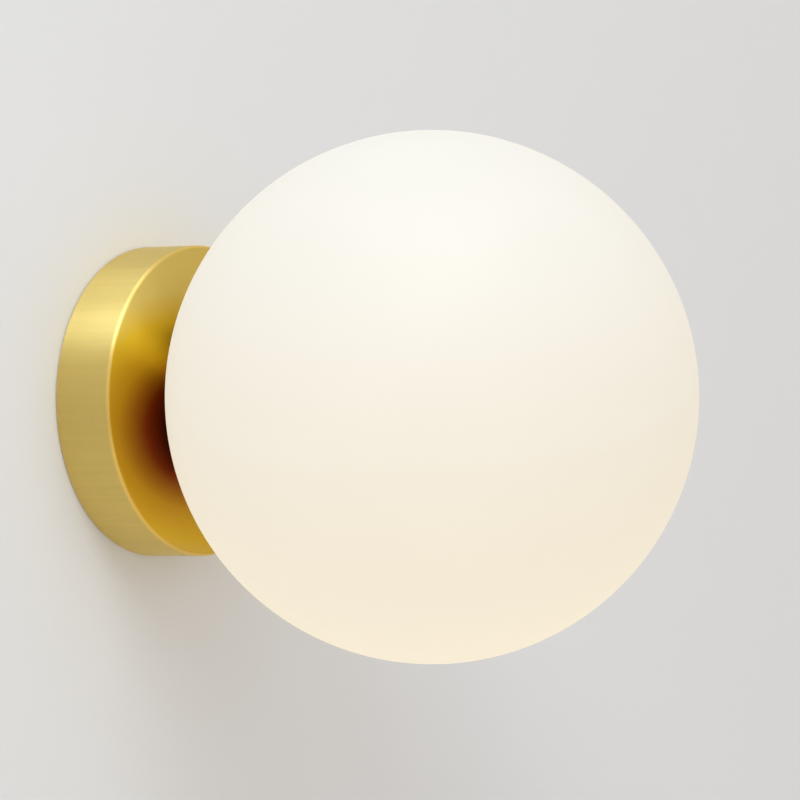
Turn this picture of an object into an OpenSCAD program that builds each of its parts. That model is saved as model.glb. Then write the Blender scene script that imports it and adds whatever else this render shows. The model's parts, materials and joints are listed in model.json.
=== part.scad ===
// Wall lamp: a round metal canopy stands on the wall and carries a small clamping ring, the gallery,
// that holds the short neck of an opal glass globe. A capsule lamp stands inside the globe.
// Millimetres. The origin is on the lamp's axis in the wall plane. +Z is up and the lamp stands out
// from the wall along -Y. Every sub-part is drawn with x to the right, y up and z away from the wall,
// and on_wall() turns it into its place.

/* [Globe] */
// Outside diameter of the globe
globe_d = 200; // [180:1:220]
// Thickness of the glass
glass_t = 3; // [2:0.5:4]
// Gap between the canopy's face and the back of the globe
globe_gap = 7; // [7:0.5:10]
// Outside diameter of the globe's neck
neck_d = 40; // [38:1:44]
// Radius of the fillet between the neck and the globe
neck_fillet = 1; // [0.5:0.1:1.2]

/* [Canopy] */
// Outside diameter of the canopy
canopy_d = 120; // [110:1:140]
// Depth of the canopy from the wall to its face
canopy_h = 25; // [25:0.5:30]
// Thickness of the canopy's sheet
canopy_t = 1.2; // [1:0.1:1.5]
// Outside radius of the canopy's front edge
canopy_edge = 1.5; // [1.5:0.1:3]
// Thread diameter of the two screws in the canopy's side
side_screw_d = 4; // [3:0.5:4]
// Length of the side screws
side_screw_l = 6; // [5:0.5:8]

/* [Wall bracket] */
// Thickness of the bracket's steel
bracket_t = 2; // [1.5:0.1:2]
// Width of the bracket
bracket_w = 24; // [24:0.5:30]
// Distance between the two wall slots
slot_spacing = 80; // [76:1:82]
// Width of a wall slot
slot_w = 5; // [4:0.5:6]
// End-to-end length of a wall slot
slot_l = 14; // [10:0.5:14]
// Height of the bent ears above the wall
ear_h = 18; // [17:0.5:20]
// Width of the bent ears
ear_w = 12; // [10:0.5:14]
// Hole for the supply cable in the cable bush
cable_hole_d = 11; // [8:0.5:12]

/* [Gallery] */
// Wall thickness of the gallery
gallery_t = 2; // [1.5:0.1:2.5]
// Floor thickness of the gallery
gallery_floor = 1.5; // [1:0.1:2]
// Radial play between the globe's neck and the gallery
neck_play = 3; // [3:0.1:4]
// Gap between the gallery's rim and the globe
rim_gap = 1.6; // [1.2:0.1:2]
// Thickness of the silicone ring under the neck
seat_t = 1.5; // [1:0.1:1.5]
// Width of the silicone ring under the neck
seat_w = 3.4; // [2.5:0.1:4]

/* [Thumbscrews] */
// Thread diameter of a thumbscrew
thumb_d = 3; // [2.5:0.1:3]
// Diameter of the knurled head
thumb_head_d = 7; // [6:0.1:7.2]
// Length of the knurled head
thumb_head_l = 5; // [4:0.1:7]
// Distance from the gallery to the head when the globe is clamped
thumb_stand_off = 1; // [0.6:0.1:1.5]
// Number of grooves in the knurl
thumb_grooves = 18; // [12:1:24]
// Diameter of the soft tip
tip_d = 3.8; // [3.6:0.1:4]
// Length of the soft tip
tip_l = 1.5; // [1.3:0.1:1.6]

/* [Lampholder] */
// Thread diameter of the hollow nipple
nipple_d = 10; // [9:0.5:10]
// Bore of the hollow nipple
nipple_bore = 7; // [6.5:0.1:7.5]
// Height of the nut behind the canopy
nut_h = 4; // [3:0.5:4]
// Height of the nut inside the gallery
lock_nut_h = 2.5; // [2:0.5:3]
// Distance across the flats of both nuts
nut_flats = 14; // [13:0.5:15]
// Gap between the lock nut and the ceramic, where the leads spread
lead_room = 10; // [9:0.5:12]
// Diameter of the ceramic body
ceramic_d = 23; // [22:0.5:24]
// Width of the ceramic body across its two flats
ceramic_flats = 20; // [19:0.5:21]
// Height of the ceramic body
ceramic_h = 16; // [15:0.5:18]
// Thickness of the holder bracket's steel
holder_t = 1; // [0.8:0.1:1.2]
// Distance between the two pins of the capsule lamp
pin_spacing = 9; // [8:0.5:9.5]

/* [Capsule lamp] */
// Diameter of the frosted cover
bulb_d = 16; // [14:0.5:18]
// Length of the capsule lamp above the ceramic
bulb_l = 50; // [45:1:58]
// Height of the lamp's base
bulb_base_h = 9; // [8:0.5:12]
// Wall thickness of the frosted cover
bulb_t = 1; // [0.6:0.1:1.2]
// Number of light chips along the board
chip_rows = 6; // [4:1:6]

/* [Wiring] */
// Diameter of the live and neutral leads
lead_d = 1.9; // [1.6:0.1:2]
// Diameter of the earth lead
earth_d = 2.2; // [1.8:0.1:2.3]
// Height of the terminal block
block_h = 12; // [11:0.5:13]
// Length of the terminal block along its clamps
block_l = 17; // [16:0.5:18]
// Distance between the two clamps of the terminal block
block_pitch = 12; // [12:0.5:14]

/* [Hidden] */

// Clearances: a screw in a threaded hole, a part through a plain hole, a moving part beside another
thread_clear = 0.06;
hole_clear = 0.2;
slide_clear = 0.2;
// A length that carries a cut past a surface
past = 1;
$fn = 96;
small_fn = 48;

globe_r = globe_d / 2;
neck_r = neck_d / 2;
globe_z = canopy_h + globe_gap + globe_r;
// Distance from the wall of the globe's skin at a distance r from the axis
function globe_skin(r) = globe_z - sqrt(globe_r * globe_r - r * r);

canopy_r = canopy_d / 2;
canopy_in_r = canopy_r - canopy_t;
side_screw_z = canopy_h / 2;
side_head_r = side_screw_d / 2 + canopy_t;
// The side screws' heads lie a little under the canopy's skin
side_head_in = 0.15;

// The ears' outer faces are flat, and their corners stay clear inside the canopy
ear_clear = 0.5;
ear_y = sqrt(pow(canopy_in_r - ear_clear, 2) - pow(ear_w / 2, 2));

gallery_in_r = neck_r + neck_play;
gallery_r = gallery_in_r + gallery_t;
gallery_top = globe_skin(gallery_r) - rim_gap;
floor_z = canopy_h + gallery_floor;
neck_z = floor_z + seat_t;
thumb_z = neck_z + tip_d / 2 + slide_clear;
thumb_angles = [0, 120, 240];
// Places along a thumbscrew, from the lamp's axis
tip_in = neck_r + slide_clear;
tip_floor = 0.7;
tip_pocket = tip_l - tip_floor;
thumb_in = tip_in + tip_l - tip_pocket;
thumb_out = gallery_r + thumb_stand_off;
groove_depth = 0.35;

nipple_r = nipple_d / 2;
washer_t = 0.8;
lug_t = 0.8;
washer_z = canopy_h - canopy_t - washer_t;
canopy_lug_z = washer_z - lug_t;
nut_z = canopy_lug_z - nut_h;
holder_base_t = 1.5;
lock_nut_z = floor_z + holder_base_t;
nipple_spare = 1;
// How far the nipple hangs out behind its nut
nipple_tail = 5;
nipple_top = lock_nut_z + lock_nut_h + nipple_spare;
nipple_end = nut_z - nipple_tail;
washer_r = nut_flats / 2 + 1;

ceramic_z = lock_nut_z + lock_nut_h + lead_room;
ceramic_top = ceramic_z + ceramic_h;
leg_w = 8;
holder_screw_z = ceramic_z + ceramic_h / 2;
holder_screw_r = 1.5;
holder_head_r = 2.6;
holder_head_h = 1.4;
holder_screw_l = 3.5;
// The lower part of the ceramic guides the leads, and the upper part holds the contacts
contact_floor = 4;
contact_cover = 2.5;
contact_z = ceramic_z + contact_floor;
contact_w = 4.4;
contact_gap = 1.4;
contact_t = 0.5;
contact_h = ceramic_h - contact_floor - contact_cover;
barrel_r = 1.4;
barrel_l = 3;
slot_face_w = 4.6;
slot_face_d = 1.8;

pin_wire_r = 0.45;
pin_w = 3;
pin_l = 9;
bulb_r = bulb_d / 2;
board_t = 1;
board_w = 9;
chip = 2.6;
chip_t = 0.7;
board_z = ceramic_top + bulb_base_h;
board_l = bulb_l - bulb_base_h - bulb_r;

block_z = bracket_t;
// Free strip between the cable hole and the terminal block
block_gap = 6;
block_y = cable_hole_d / 2 + block_gap + block_l / 2;
// Height of the clamped wires above the terminal block's foot
clamp_lift = 5;
clamp_z = block_z + clamp_lift;
tube_r = 2.1;
tube_bore_r = 1.5;
tower_wall = 0.9;
tower_w = 2 * (tube_r + tower_wall);
block_w = block_pitch + tower_w + 1;
clamp_screw_r = 1.25;
clamp_screw_y = block_l / 4;
block_screw_r = 1.5;
deck_z = block_z + block_h / 2;

bush_wall = 2.4;
bush_r = cable_hole_d / 2 + bush_wall;
bush_flange = 1.8;
bush_flange_t = 1.5;
// Distance from the bush's flange to the middle of the earth screw
earth_gap = 9.5;
earth_y = -(bush_r + bush_flange + earth_gap);
earth_r = 2;
// Distance from the wall of the ends of the screws that sit in the bracket's plate
plate_screw_end = 0.3;
lug_barrel_r = 1.7;
// How far a lug's barrel sinks into its plate
lug_sink = 0.2;
lug_barrel_l = 5;
lug_ring_r = 4;
lug_reach = 9.5;
// How far the canopy lug's barrel reaches past the washer
canopy_lug_stem = 6;
canopy_lug_reach = washer_r + canopy_lug_stem;
canopy_lug_turn = 225;

// Routes of the leads, as points of their own, each with x to the right, y up and z off the wall
lead_in_nipple = 1.3;
// Free lengths of lead before it bends at a terminal, a lug or the nipple
block_lead_in = 5.5;
lug_lead_in = 4;
earth_loop = 11;
nipple_lead_in = 1.5;
// How far a lead reaches into a clamp or a lug's barrel, and runs straight inside the nipple
clamp_grip = 4;
lug_grip = 4.3;
nipple_run = 3;
lead_route = [
    [pin_spacing / 2, 0, contact_z - 0.5],
    [pin_spacing / 2, 0, ceramic_z + 0.5],
    [pin_spacing / 2, 0, ceramic_z - nipple_lead_in],
    [lead_in_nipple, 0, nipple_top + nipple_lead_in],
    [lead_in_nipple, 0, nipple_top - nipple_run],
    [lead_in_nipple, 0, nipple_end + nipple_run],
    [lead_in_nipple + 0.1, 0.6, nipple_end - 1],
    [block_pitch / 2 - 1.5, block_y - block_l / 2 - block_lead_in, clamp_z + 1],
    [block_pitch / 2, block_y - block_l / 2 - 1.5, clamp_z],
    [block_pitch / 2, block_y - block_l / 2 + clamp_grip, clamp_z]
];
earth_lug_z = bracket_t + lug_t + lug_barrel_r - lug_sink;
canopy_barrel_z = canopy_lug_z - lug_barrel_r + lug_sink;
// A point out along the canopy lug's barrel, at a distance from the lamp's axis
function canopy_lug_point(out) =
    [out * cos(canopy_lug_turn), out * sin(canopy_lug_turn), canopy_barrel_z];
earth_route = [
    [-lug_reach + lug_grip, earth_y, earth_lug_z],
    [-lug_reach - 0.5, earth_y, earth_lug_z],
    [-lug_reach - lug_lead_in, earth_y, earth_lug_z],
    [-lug_reach - earth_loop, earth_y + 1, earth_lug_z + lug_lead_in],
    canopy_lug_point(canopy_lug_reach + 2 * lug_lead_in) - [0, 0, lug_lead_in],
    canopy_lug_point(canopy_lug_reach + 3.5),
    canopy_lug_point(canopy_lug_reach + 0.5),
    canopy_lug_point(canopy_lug_reach - lug_grip)
];

brass_color = "#e7d28a";
bronze_color = "#3a2016";
steel_color = "#b9bcc0";
opal_color = "#fbf4e4";

module on_wall() {
    rotate([90, 0, 0]) children();
}

// A flat ring on the lamp's axis
module ring(r_out, r_in, z, h) {
    translate([0, 0, z]) difference() {
        cylinder(r = r_out, h = h);
        translate([0, 0, -past]) cylinder(r = r_in, h = h + 2 * past);
    }
}

// A box with x and y centred and z rising from z0
module block_at(size, z0) {
    translate([-size.x / 2, -size.y / 2, z0]) cube(size);
}

// A rod that points straight out from the lamp's axis, from one distance to another
module radial(r, from, to, z, turn) {
    rotate([0, 0, turn]) translate([from, 0, z]) rotate([0, 90, 0])
        cylinder(r = r, h = to - from, $fn = small_fn);
}

// Half of a turned cup's section: flat floor at h, straight side of radius r, rounded corner e
module cup_section(r, h, e) {
    square([r - e, h]);
    square([r, h - e]);
    translate([r - e, h - e]) circle(r = e);
}

// A slot along y through a plate
module slot(w, l, z, h) {
    for (side = [-1, 1])
        translate([0, side * (l - w) / 2, z]) cylinder(r = w / 2, h = h, $fn = small_fn);
    block_at([w, l - w, h], z);
}

// Points between p[i] and p[i + 1] on a smooth curve through all the points
function at_end(p, i) = p[max(0, min(len(p) - 1, i))];
function curve_point(a, b, c, d, t) =
    b + t * (c - a) / 2 + t * t * (a - 2.5 * b + 2 * c - d / 2) + t * t * t * (3 * (b - c) + d - a) / 2;
steps = 4;
function smooth_route(p) = [
    for (i = [0:len(p) - 2])
        for (s = [0:steps - 1])
            curve_point(at_end(p, i - 1), p[i], p[i + 1], at_end(p, i + 2), s / steps),
    p[len(p) - 1]
];
function unit(v) = v / norm(v);
function heading(p, i) = unit(at_end(p, i + 1) - at_end(p, i - 1));
// Across a route, kept as near as can be to the direction ref
function across(ref, along) = unit(ref - (ref * along) * along);
sides = 8;
function lead_ring(p, i, r, ref) =
    let (along = heading(p, i), u = across(ref, along), v = cross(along, u))
    [for (k = [0:sides - 1]) p[i] + r * (cos(360 * k / sides) * u + sin(360 * k / sides) * v)];

// A round lead swept along a route
module lead(route, r, ref) {
    p = smooth_route(route);
    n = len(p);
    rings = [for (i = [0:n - 1]) each lead_ring(p, i, r, ref)];
    skin = [
        for (i = [0:n - 2])
            for (k = [0:sides - 1])
                let (a = i * sides + k, b = i * sides + (k + 1) % sides)
                each [[a, a + sides, b + sides], [a, b + sides, b]]
    ];
    start = [for (k = [0:sides - 1]) k];
    end = [for (k = [sides - 1:-1:0]) (n - 1) * sides + k];
    polyhedron(points = rings, faces = concat(skin, [start, end]), convexity = 4);
}

// Bent steel strap against the wall, with two wall slots and an ear at each end
module wall_bracket() {
    color(steel_color) on_wall() difference() {
        union() {
            block_at([bracket_w, 2 * ear_y - 2 * bracket_t, bracket_t], 0);
            for (side = [-1, 1]) strap_end(side);
        }
        for (side = [-1, 1])
            translate([0, side * slot_spacing / 2, 0]) slot(slot_w, slot_l, -past, bracket_t + 2 * past);
        translate([0, 0, -past]) cylinder(r = bush_r + thread_clear, h = bracket_t + 2 * past);
        for (y = [earth_y, block_y])
            translate([0, y, -past])
                cylinder(r = (y == earth_y ? earth_r : block_screw_r) + thread_clear,
                    h = bracket_t + 2 * past, $fn = small_fn);
        for (turn = [90, 270])
            radial(side_screw_d / 2 + thread_clear, ear_y - bracket_t - past, ear_y + past,
                side_screw_z, turn);
    }
}
// One end of the strap: an ear with a round top, bent up from the narrower end of the plate
module strap_end(side) {
    ear_mid = side * (ear_y - bracket_t / 2);
    round_z = ear_h - ear_w / 2;
    translate([-ear_w / 2, ear_mid - bracket_t / 2, 0]) cube([ear_w, bracket_t, round_z]);
    translate([0, ear_mid + bracket_t / 2, round_z]) rotate([90, 0, 0])
        cylinder(r = ear_w / 2, h = bracket_t);
}

// Plastic bush that lines the bracket's cable hole
module cable_bush() {
    barrel_end = 0.2;
    color("#3a3a3c") on_wall() difference() {
        union() {
            translate([0, 0, barrel_end]) cylinder(r = bush_r, h = bracket_t - barrel_end);
            translate([0, 0, bracket_t]) rotate_extrude()
                cup_section(bush_r + bush_flange, bush_flange_t, bush_flange_t / 2);
        }
        cylinder(r = cable_hole_d / 2, h = bracket_t + bush_flange_t + past);
    }
}

// Spun brass cup that covers the bracket and the wiring
module canopy() {
    in_edge = max(canopy_edge - canopy_t, 0.2);
    hole_play = hole_clear / 2;
    color(brass_color) on_wall() difference() {
        rotate_extrude() difference() {
            cup_section(canopy_r, canopy_h, canopy_edge);
            translate([0, -past]) cup_section(canopy_in_r, canopy_h - canopy_t + past, in_edge);
        }
        translate([0, 0, canopy_h - canopy_t - past])
            cylinder(r = nipple_r + hole_clear, h = canopy_t + 2 * past);
        for (turn = [90, 270])
            rotate([0, 0, turn]) translate([canopy_r, 0, side_screw_z]) rotate([0, -90, 0])
                countersink(side_head_r + side_head_in + hole_play, side_screw_d / 2 + hole_play);
    }
}
// A countersunk hole whose wide end is at z = 0, and which carries on past both ends
module countersink(r_wide, r_narrow) {
    depth = r_wide - r_narrow;
    translate([0, 0, -past]) cylinder(r = r_wide, h = past, $fn = small_fn);
    cylinder(r1 = r_wide, r2 = r_narrow, h = depth, $fn = small_fn);
    cylinder(r = r_narrow, h = depth + canopy_t + past, $fn = small_fn);
}

// The two countersunk screws that hold the canopy on the bracket's ears
module canopy_screws() {
    driver_w = 0.9;
    driver_h = 0.8;
    color(brass_color) on_wall() for (turn = [90, 270])
        rotate([0, 0, turn]) translate([canopy_r - side_head_in, 0, side_screw_z]) rotate([0, -90, 0])
            difference() {
                union() {
                    cylinder(r1 = side_head_r, r2 = side_screw_d / 2, h = canopy_t, $fn = small_fn);
                    cylinder(r = side_screw_d / 2, h = side_screw_l, $fn = small_fn);
                }
                translate([-side_head_r - past, -driver_w / 2, -past])
                    cube([2 * side_head_r + 2 * past, driver_w, driver_h + past]);
            }
}

// Hollow threaded tube that ties the canopy, the gallery and the lampholder together
module nipple() {
    color("#b8934a") on_wall()
        ring(nipple_r, nipple_bore / 2, nipple_end, nipple_top - nipple_end);
}

module hex_nut(z, h) {
    corner_r = nut_flats / 2 / cos(30);
    translate([0, 0, z]) difference() {
        intersection() {
            cylinder(r = corner_r, h = h, $fn = 6);
            translate([0, 0, h / 2]) sphere(r = corner_r + h / 12);
        }
        translate([0, 0, -past]) cylinder(r = nipple_r + thread_clear, h = h + 2 * past);
    }
}
// Nut behind the canopy's face
module nipple_nut() {
    color(steel_color) on_wall() hex_nut(nut_z, nut_h);
}
// Flat nut on top of the holder bracket
module lock_nut() {
    color(steel_color) on_wall() hex_nut(lock_nut_z, lock_nut_h);
}

// Washer whose teeth bite into the canopy
module toothed_washer() {
    teeth = 12;
    tooth_gap = 1.4;
    tooth_l = 1.5;
    color(steel_color) on_wall() difference() {
        ring(washer_r, nipple_r + hole_clear, washer_z, washer_t);
        for (i = [0:teeth - 1])
            rotate([0, 0, 360 * i / teeth])
                translate([washer_r - tooth_l, -tooth_gap / 2, washer_z - past])
                    cube([2 * tooth_l, tooth_gap, washer_t + 2 * past]);
    }
}

// Turned brass ring that takes the globe's neck
module gallery() {
    rim_round = 0.5;
    color(bronze_color) on_wall() difference() {
        translate([0, 0, canopy_h]) rotate_extrude()
            cup_section(gallery_r, gallery_top - canopy_h, rim_round);
        translate([0, 0, floor_z]) cylinder(r = gallery_in_r, h = gallery_top);
        translate([0, 0, canopy_h - past])
            cylinder(r = nipple_r + hole_clear, h = gallery_floor + 2 * past);
        for (turn = thumb_angles)
            radial(thumb_d / 2 + thread_clear, gallery_in_r - past, gallery_r + past, thumb_z, turn);
    }
}

// Silicone ring that the edge of the glass rests on
module neck_seat() {
    color("#e9e6de") on_wall() ring(neck_r, neck_r - seat_w, floor_z, seat_t);
}

// Steel fork that carries the ceramic lampholder
module holder_bracket() {
    leg_x = ceramic_flats / 2;
    leg_top = holder_screw_z + leg_w / 2;
    color(steel_color) on_wall() difference() {
        union() {
            block_at([2 * leg_x, nut_flats, holder_base_t], floor_z);
            for (side = [-1, 1]) {
                leg_from = side > 0 ? leg_x : -leg_x - holder_t;
                translate([leg_from, -leg_w / 2, floor_z])
                    cube([holder_t, leg_w, holder_screw_z - floor_z]);
                translate([leg_from, 0, holder_screw_z]) rotate([0, 90, 0])
                    cylinder(r = leg_top - holder_screw_z, h = holder_t);
            }
        }
        translate([0, 0, floor_z - past])
            cylinder(r = nipple_r + hole_clear, h = holder_base_t + 2 * past);
        for (turn = [0, 180])
            radial(holder_screw_r + hole_clear / 2, leg_x - past, leg_x + holder_t + past,
                holder_screw_z, turn);
    }
}

// Glazed ceramic body that takes the capsule lamp's two pins
module lampholder() {
    foot_h = 3;
    foot_r = ceramic_d / 2 - 1.5;
    edge = 0.8;
    color("#efece4") on_wall() difference() {
        intersection() {
            union() {
                translate([0, 0, ceramic_z]) cylinder(r = foot_r, h = foot_h);
                translate([0, 0, ceramic_z + foot_h]) rotate_extrude()
                    cup_section(ceramic_d / 2, ceramic_h - foot_h, edge);
            }
            block_at([ceramic_flats - thread_clear, ceramic_d, ceramic_h + 2 * past], ceramic_z - past);
        }
        for (side = [-1, 1]) translate([side * pin_spacing / 2, 0, 0]) {
            translate([0, 0, ceramic_z - past])
                cylinder(r = barrel_r + hole_clear, h = ceramic_h / 2, $fn = small_fn);
            block_at([contact_w + 2 * hole_clear, contact_gap + 2 * contact_t + 2 * hole_clear,
                contact_h + hole_clear], contact_z);
            block_at([slot_face_w, slot_face_d, ceramic_h], contact_z);
        }
        for (turn = [0, 180])
            radial(holder_screw_r + thread_clear, ceramic_flats / 2 - holder_screw_l + holder_t,
                ceramic_d, holder_screw_z, turn);
    }
}

// The two screws through the fork into the ceramic
module holder_screws() {
    driver_w = 0.8;
    leg_out = ceramic_flats / 2 + holder_t;
    driver_z = holder_screw_z - driver_w / 2;
    color(steel_color) on_wall() for (turn = [0, 180]) {
        radial(holder_screw_r, leg_out - holder_screw_l, leg_out, holder_screw_z, turn);
        difference() {
            radial(holder_head_r, leg_out, leg_out + holder_head_h, holder_screw_z, turn);
            rotate([0, 0, turn]) translate([leg_out + holder_head_h / 2, -holder_head_r - past, driver_z])
                cube([holder_head_h, 2 * holder_head_r + 2 * past, driver_w]);
        }
    }
}

// The two spring contacts inside the ceramic
module holder_contacts() {
    color("#d8b46a") on_wall() for (side = [-1, 1]) translate([side * pin_spacing / 2, 0, 0]) {
        for (leaf = [-1, 1])
            translate([0, leaf * (contact_gap + contact_t) / 2, 0])
                block_at([contact_w, contact_t, contact_h], contact_z);
        difference() {
            block_at([contact_w, contact_gap + 2 * contact_t, contact_t], contact_z);
            translate([0, 0, contact_z - past])
                cylinder(r = lead_d / 2 + thread_clear, h = contact_t + 2 * past, $fn = small_fn);
        }
        ring(barrel_r, lead_d / 2 + thread_clear, contact_z - barrel_l, barrel_l + contact_t / 2,
            $fn = small_fn);
    }
}

// Polyamide block that joins the lamp's leads to the supply
module terminal_block() {
    well_r = clamp_screw_r + 0.75;
    color("#eceae4") on_wall() translate([0, block_y, 0]) difference() {
        union() {
            block_at([block_w, block_l, deck_z - block_z], block_z);
            for (side = [-1, 1]) translate([side * block_pitch / 2, 0, 0])
                block_at([tower_w, block_l, block_h], block_z);
        }
        for (side = [-1, 1]) translate([side * block_pitch / 2, 0, 0]) {
            translate([0, block_l / 2 + past, clamp_z]) rotate([90, 0, 0])
                cylinder(r = tube_r + thread_clear, h = block_l + 2 * past, $fn = small_fn);
            for (end = [-1, 1])
                translate([0, end * clamp_screw_y, clamp_z])
                    cylinder(r = well_r, h = block_h, $fn = small_fn);
        }
        cylinder(r = block_screw_r + hole_clear, h = block_h, $fn = small_fn);
    }
}

// The brass tubes that clamp the wires
module terminal_tubes() {
    inset = 1;
    color("#cfae62") on_wall() translate([0, block_y, 0])
        for (side = [-1, 1]) translate([side * block_pitch / 2, 0, 0]) difference() {
            translate([0, block_l / 2 - inset, clamp_z]) rotate([90, 0, 0])
                cylinder(r = tube_r, h = block_l - 2 * inset, $fn = small_fn);
            translate([0, block_l / 2 + past, clamp_z]) rotate([90, 0, 0])
                cylinder(r = tube_bore_r, h = block_l + 2 * past, $fn = small_fn);
            for (end = [-1, 1])
                translate([0, end * clamp_screw_y, clamp_z])
                    cylinder(r = clamp_screw_r + thread_clear, h = block_h, $fn = small_fn);
        }
}

// Four clamp screws, two on each tube
module terminal_screws() {
    tip_z = clamp_z + lead_d / 2 + hole_clear / 2;
    head_z = clamp_z + tube_r + 2 * hole_clear;
    head_h = 2;
    head_r = clamp_screw_r + 0.5;
    driver_w = 0.5;
    color(steel_color) on_wall() translate([0, block_y, 0])
        for (side = [-1, 1], end = [-1, 1])
            translate([side * block_pitch / 2, end * clamp_screw_y, 0]) difference() {
                union() {
                    translate([0, 0, tip_z])
                        cylinder(r = clamp_screw_r, h = head_z - tip_z, $fn = small_fn);
                    translate([0, 0, head_z]) cylinder(r = head_r, h = head_h, $fn = small_fn);
                }
                block_at([driver_w, 3 * head_r, head_h], head_z + head_h / 2);
            }
}

// A pan-head screw along z, with its head's underside at head_z
module pan_screw(r, head_r, head_h, head_z, end_z) {
    translate([0, 0, end_z]) cylinder(r = r, h = head_z - end_z + past / 4, $fn = small_fn);
    difference() {
        translate([0, 0, head_z]) rotate_extrude() cup_section(head_r, head_h, head_h / 3);
        block_at([head_r / 4, 3 * head_r, head_h], head_z + head_h / 2);
    }
}
// Screw that fixes the terminal block on the bracket
module block_screw() {
    head_r = block_screw_r + 1.1;
    color(steel_color) on_wall() translate([0, block_y, 0])
        pan_screw(block_screw_r, head_r, 1.6, deck_z, plate_screw_end);
}
// Screw of the earth terminal
module earth_screw() {
    head_r = earth_r + 1.8;
    color("#c7a04e") on_wall() translate([0, earth_y, 0])
        pan_screw(earth_r, head_r, 2.4, bracket_t + lug_t + washer_t, plate_screw_end);
}
// Toothed washer under the earth screw
module earth_washer() {
    teeth = 8;
    color(steel_color) on_wall() translate([0, earth_y, 0]) difference() {
        ring(lug_ring_r, earth_r + hole_clear, bracket_t + lug_t, washer_t, $fn = small_fn);
        for (i = [0:teeth - 1])
            rotate([0, 0, 360 * i / teeth]) translate([lug_ring_r - 0.8, -0.4, bracket_t])
                cube([past, 0.8, lug_t + washer_t + past]);
    }
}

// A ring terminal on the plate z = 0, with its barrel on the side that over gives
module ring_lug(ring_r, hole_r, reach, over, bore_r) {
    barrel_z = over > 0 ? lug_t + lug_barrel_r - lug_sink : lug_sink - lug_barrel_r;
    tongue_w = 2 * lug_barrel_r;
    difference() {
        union() {
            cylinder(r = ring_r, h = lug_t, $fn = small_fn);
            translate([0, -tongue_w / 2, 0]) cube([reach - lug_barrel_l + past, tongue_w, lug_t]);
            translate([reach - lug_barrel_l, 0, barrel_z]) rotate([0, 90, 0])
                cylinder(r = lug_barrel_r, h = lug_barrel_l, $fn = small_fn);
        }
        translate([0, 0, -past]) cylinder(r = hole_r, h = lug_t + 2 * past, $fn = small_fn);
        translate([reach - lug_barrel_l - past, 0, barrel_z]) rotate([0, 90, 0])
            cylinder(r = bore_r, h = lug_barrel_l + 2 * past, $fn = small_fn);
    }
}
// Ring terminal under the earth screw
module earth_lug() {
    color("#d9c38a") on_wall() translate([0, earth_y, bracket_t]) rotate([0, 0, 180])
        ring_lug(lug_ring_r, earth_r + hole_clear, lug_reach, 1, earth_d / 2 + thread_clear);
}
// Ring terminal between the nut and the canopy's washer
module canopy_lug() {
    color("#d9c38a") on_wall() translate([0, 0, canopy_lug_z]) rotate([0, 0, canopy_lug_turn])
        ring_lug(washer_r, nipple_r + hole_clear, canopy_lug_reach, -1, earth_d / 2 + thread_clear);
}

module live_lead() {
    color("#7a4a2a") on_wall() lead(lead_route, lead_d / 2, [0, 1, 0]);
}
module neutral_lead() {
    color("#2f5fa8") on_wall() mirror([1, 0, 0]) lead(lead_route, lead_d / 2, [0, 1, 0]);
}
module earth_lead() {
    color("#8aa83a") on_wall() lead(earth_route, earth_d / 2, [0, 1, 0]);
}

// Knurled screw that presses its tip on the globe's neck
module thumbscrew(turn) {
    head_to = thumb_out + thumb_head_l;
    color(bronze_color) on_wall() difference() {
        union() {
            radial(thumb_d / 2, thumb_in, thumb_out, thumb_z, turn);
            radial(thumb_head_d / 2, thumb_out, head_to, thumb_z, turn);
        }
        rotate([0, 0, turn]) translate([thumb_out - past, 0, thumb_z])
            for (i = [0:thumb_grooves - 1])
                rotate([360 * i / thumb_grooves, 0, 0]) translate([0, thumb_head_d / 2, 0])
                    rotate([45, 0, 0]) translate([0, -groove_depth, -groove_depth])
                        cube([thumb_head_l + 2 * past, 2 * groove_depth, 2 * groove_depth]);
    }
}
module thumbscrew_1() {
    thumbscrew(thumb_angles[0]);
}
module thumbscrew_2() {
    thumbscrew(thumb_angles[1]);
}
module thumbscrew_3() {
    thumbscrew(thumb_angles[2]);
}

// Soft cap on the end of a thumbscrew, which stays still while the screw turns in it
module screw_tip(turn) {
    color("#f0ede6") on_wall() difference() {
        radial(tip_d / 2, tip_in, tip_in + tip_l, thumb_z, turn);
        radial(thumb_d / 2 + thread_clear, thumb_in, tip_in + tip_l + past, thumb_z, turn);
    }
}
module screw_tip_1() {
    screw_tip(thumb_angles[0]);
}
module screw_tip_2() {
    screw_tip(thumb_angles[1]);
}
module screw_tip_3() {
    screw_tip(thumb_angles[2]);
}

// Blown opal globe with its short straight neck
module globe() {
    // The glass thickens where the neck leaves the globe
    fillet_r = neck_r + neck_fillet;
    fillet_z = globe_z - sqrt(pow(globe_r + neck_fillet, 2) - pow(fillet_r, 2));
    touch = globe_r / (globe_r + neck_fillet);
    touch_r = fillet_r * touch;
    touch_z = globe_z - (globe_z - fillet_z) * touch;
    color(opal_color) on_wall() rotate_extrude() difference() {
        union() {
            intersection() {
                translate([0, globe_z]) circle(r = globe_r, $fn = 180);
                translate([0, globe_z - globe_r - past]) square([globe_r + past, globe_d + 2 * past]);
            }
            translate([0, neck_z]) square([neck_r, globe_z - globe_r / 2 - neck_z]);
            difference() {
                polygon([[neck_r - past, fillet_z], [fillet_r, fillet_z], [touch_r, touch_z],
                    [neck_r - past, touch_z + past]]);
                translate([fillet_r, fillet_z]) circle(r = neck_fillet, $fn = small_fn);
            }
        }
        translate([0, globe_z]) circle(r = globe_r - glass_t, $fn = 180);
        translate([-past, neck_z - past]) square([neck_r - glass_t + past, globe_r / 2]);
    }
}

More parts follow.
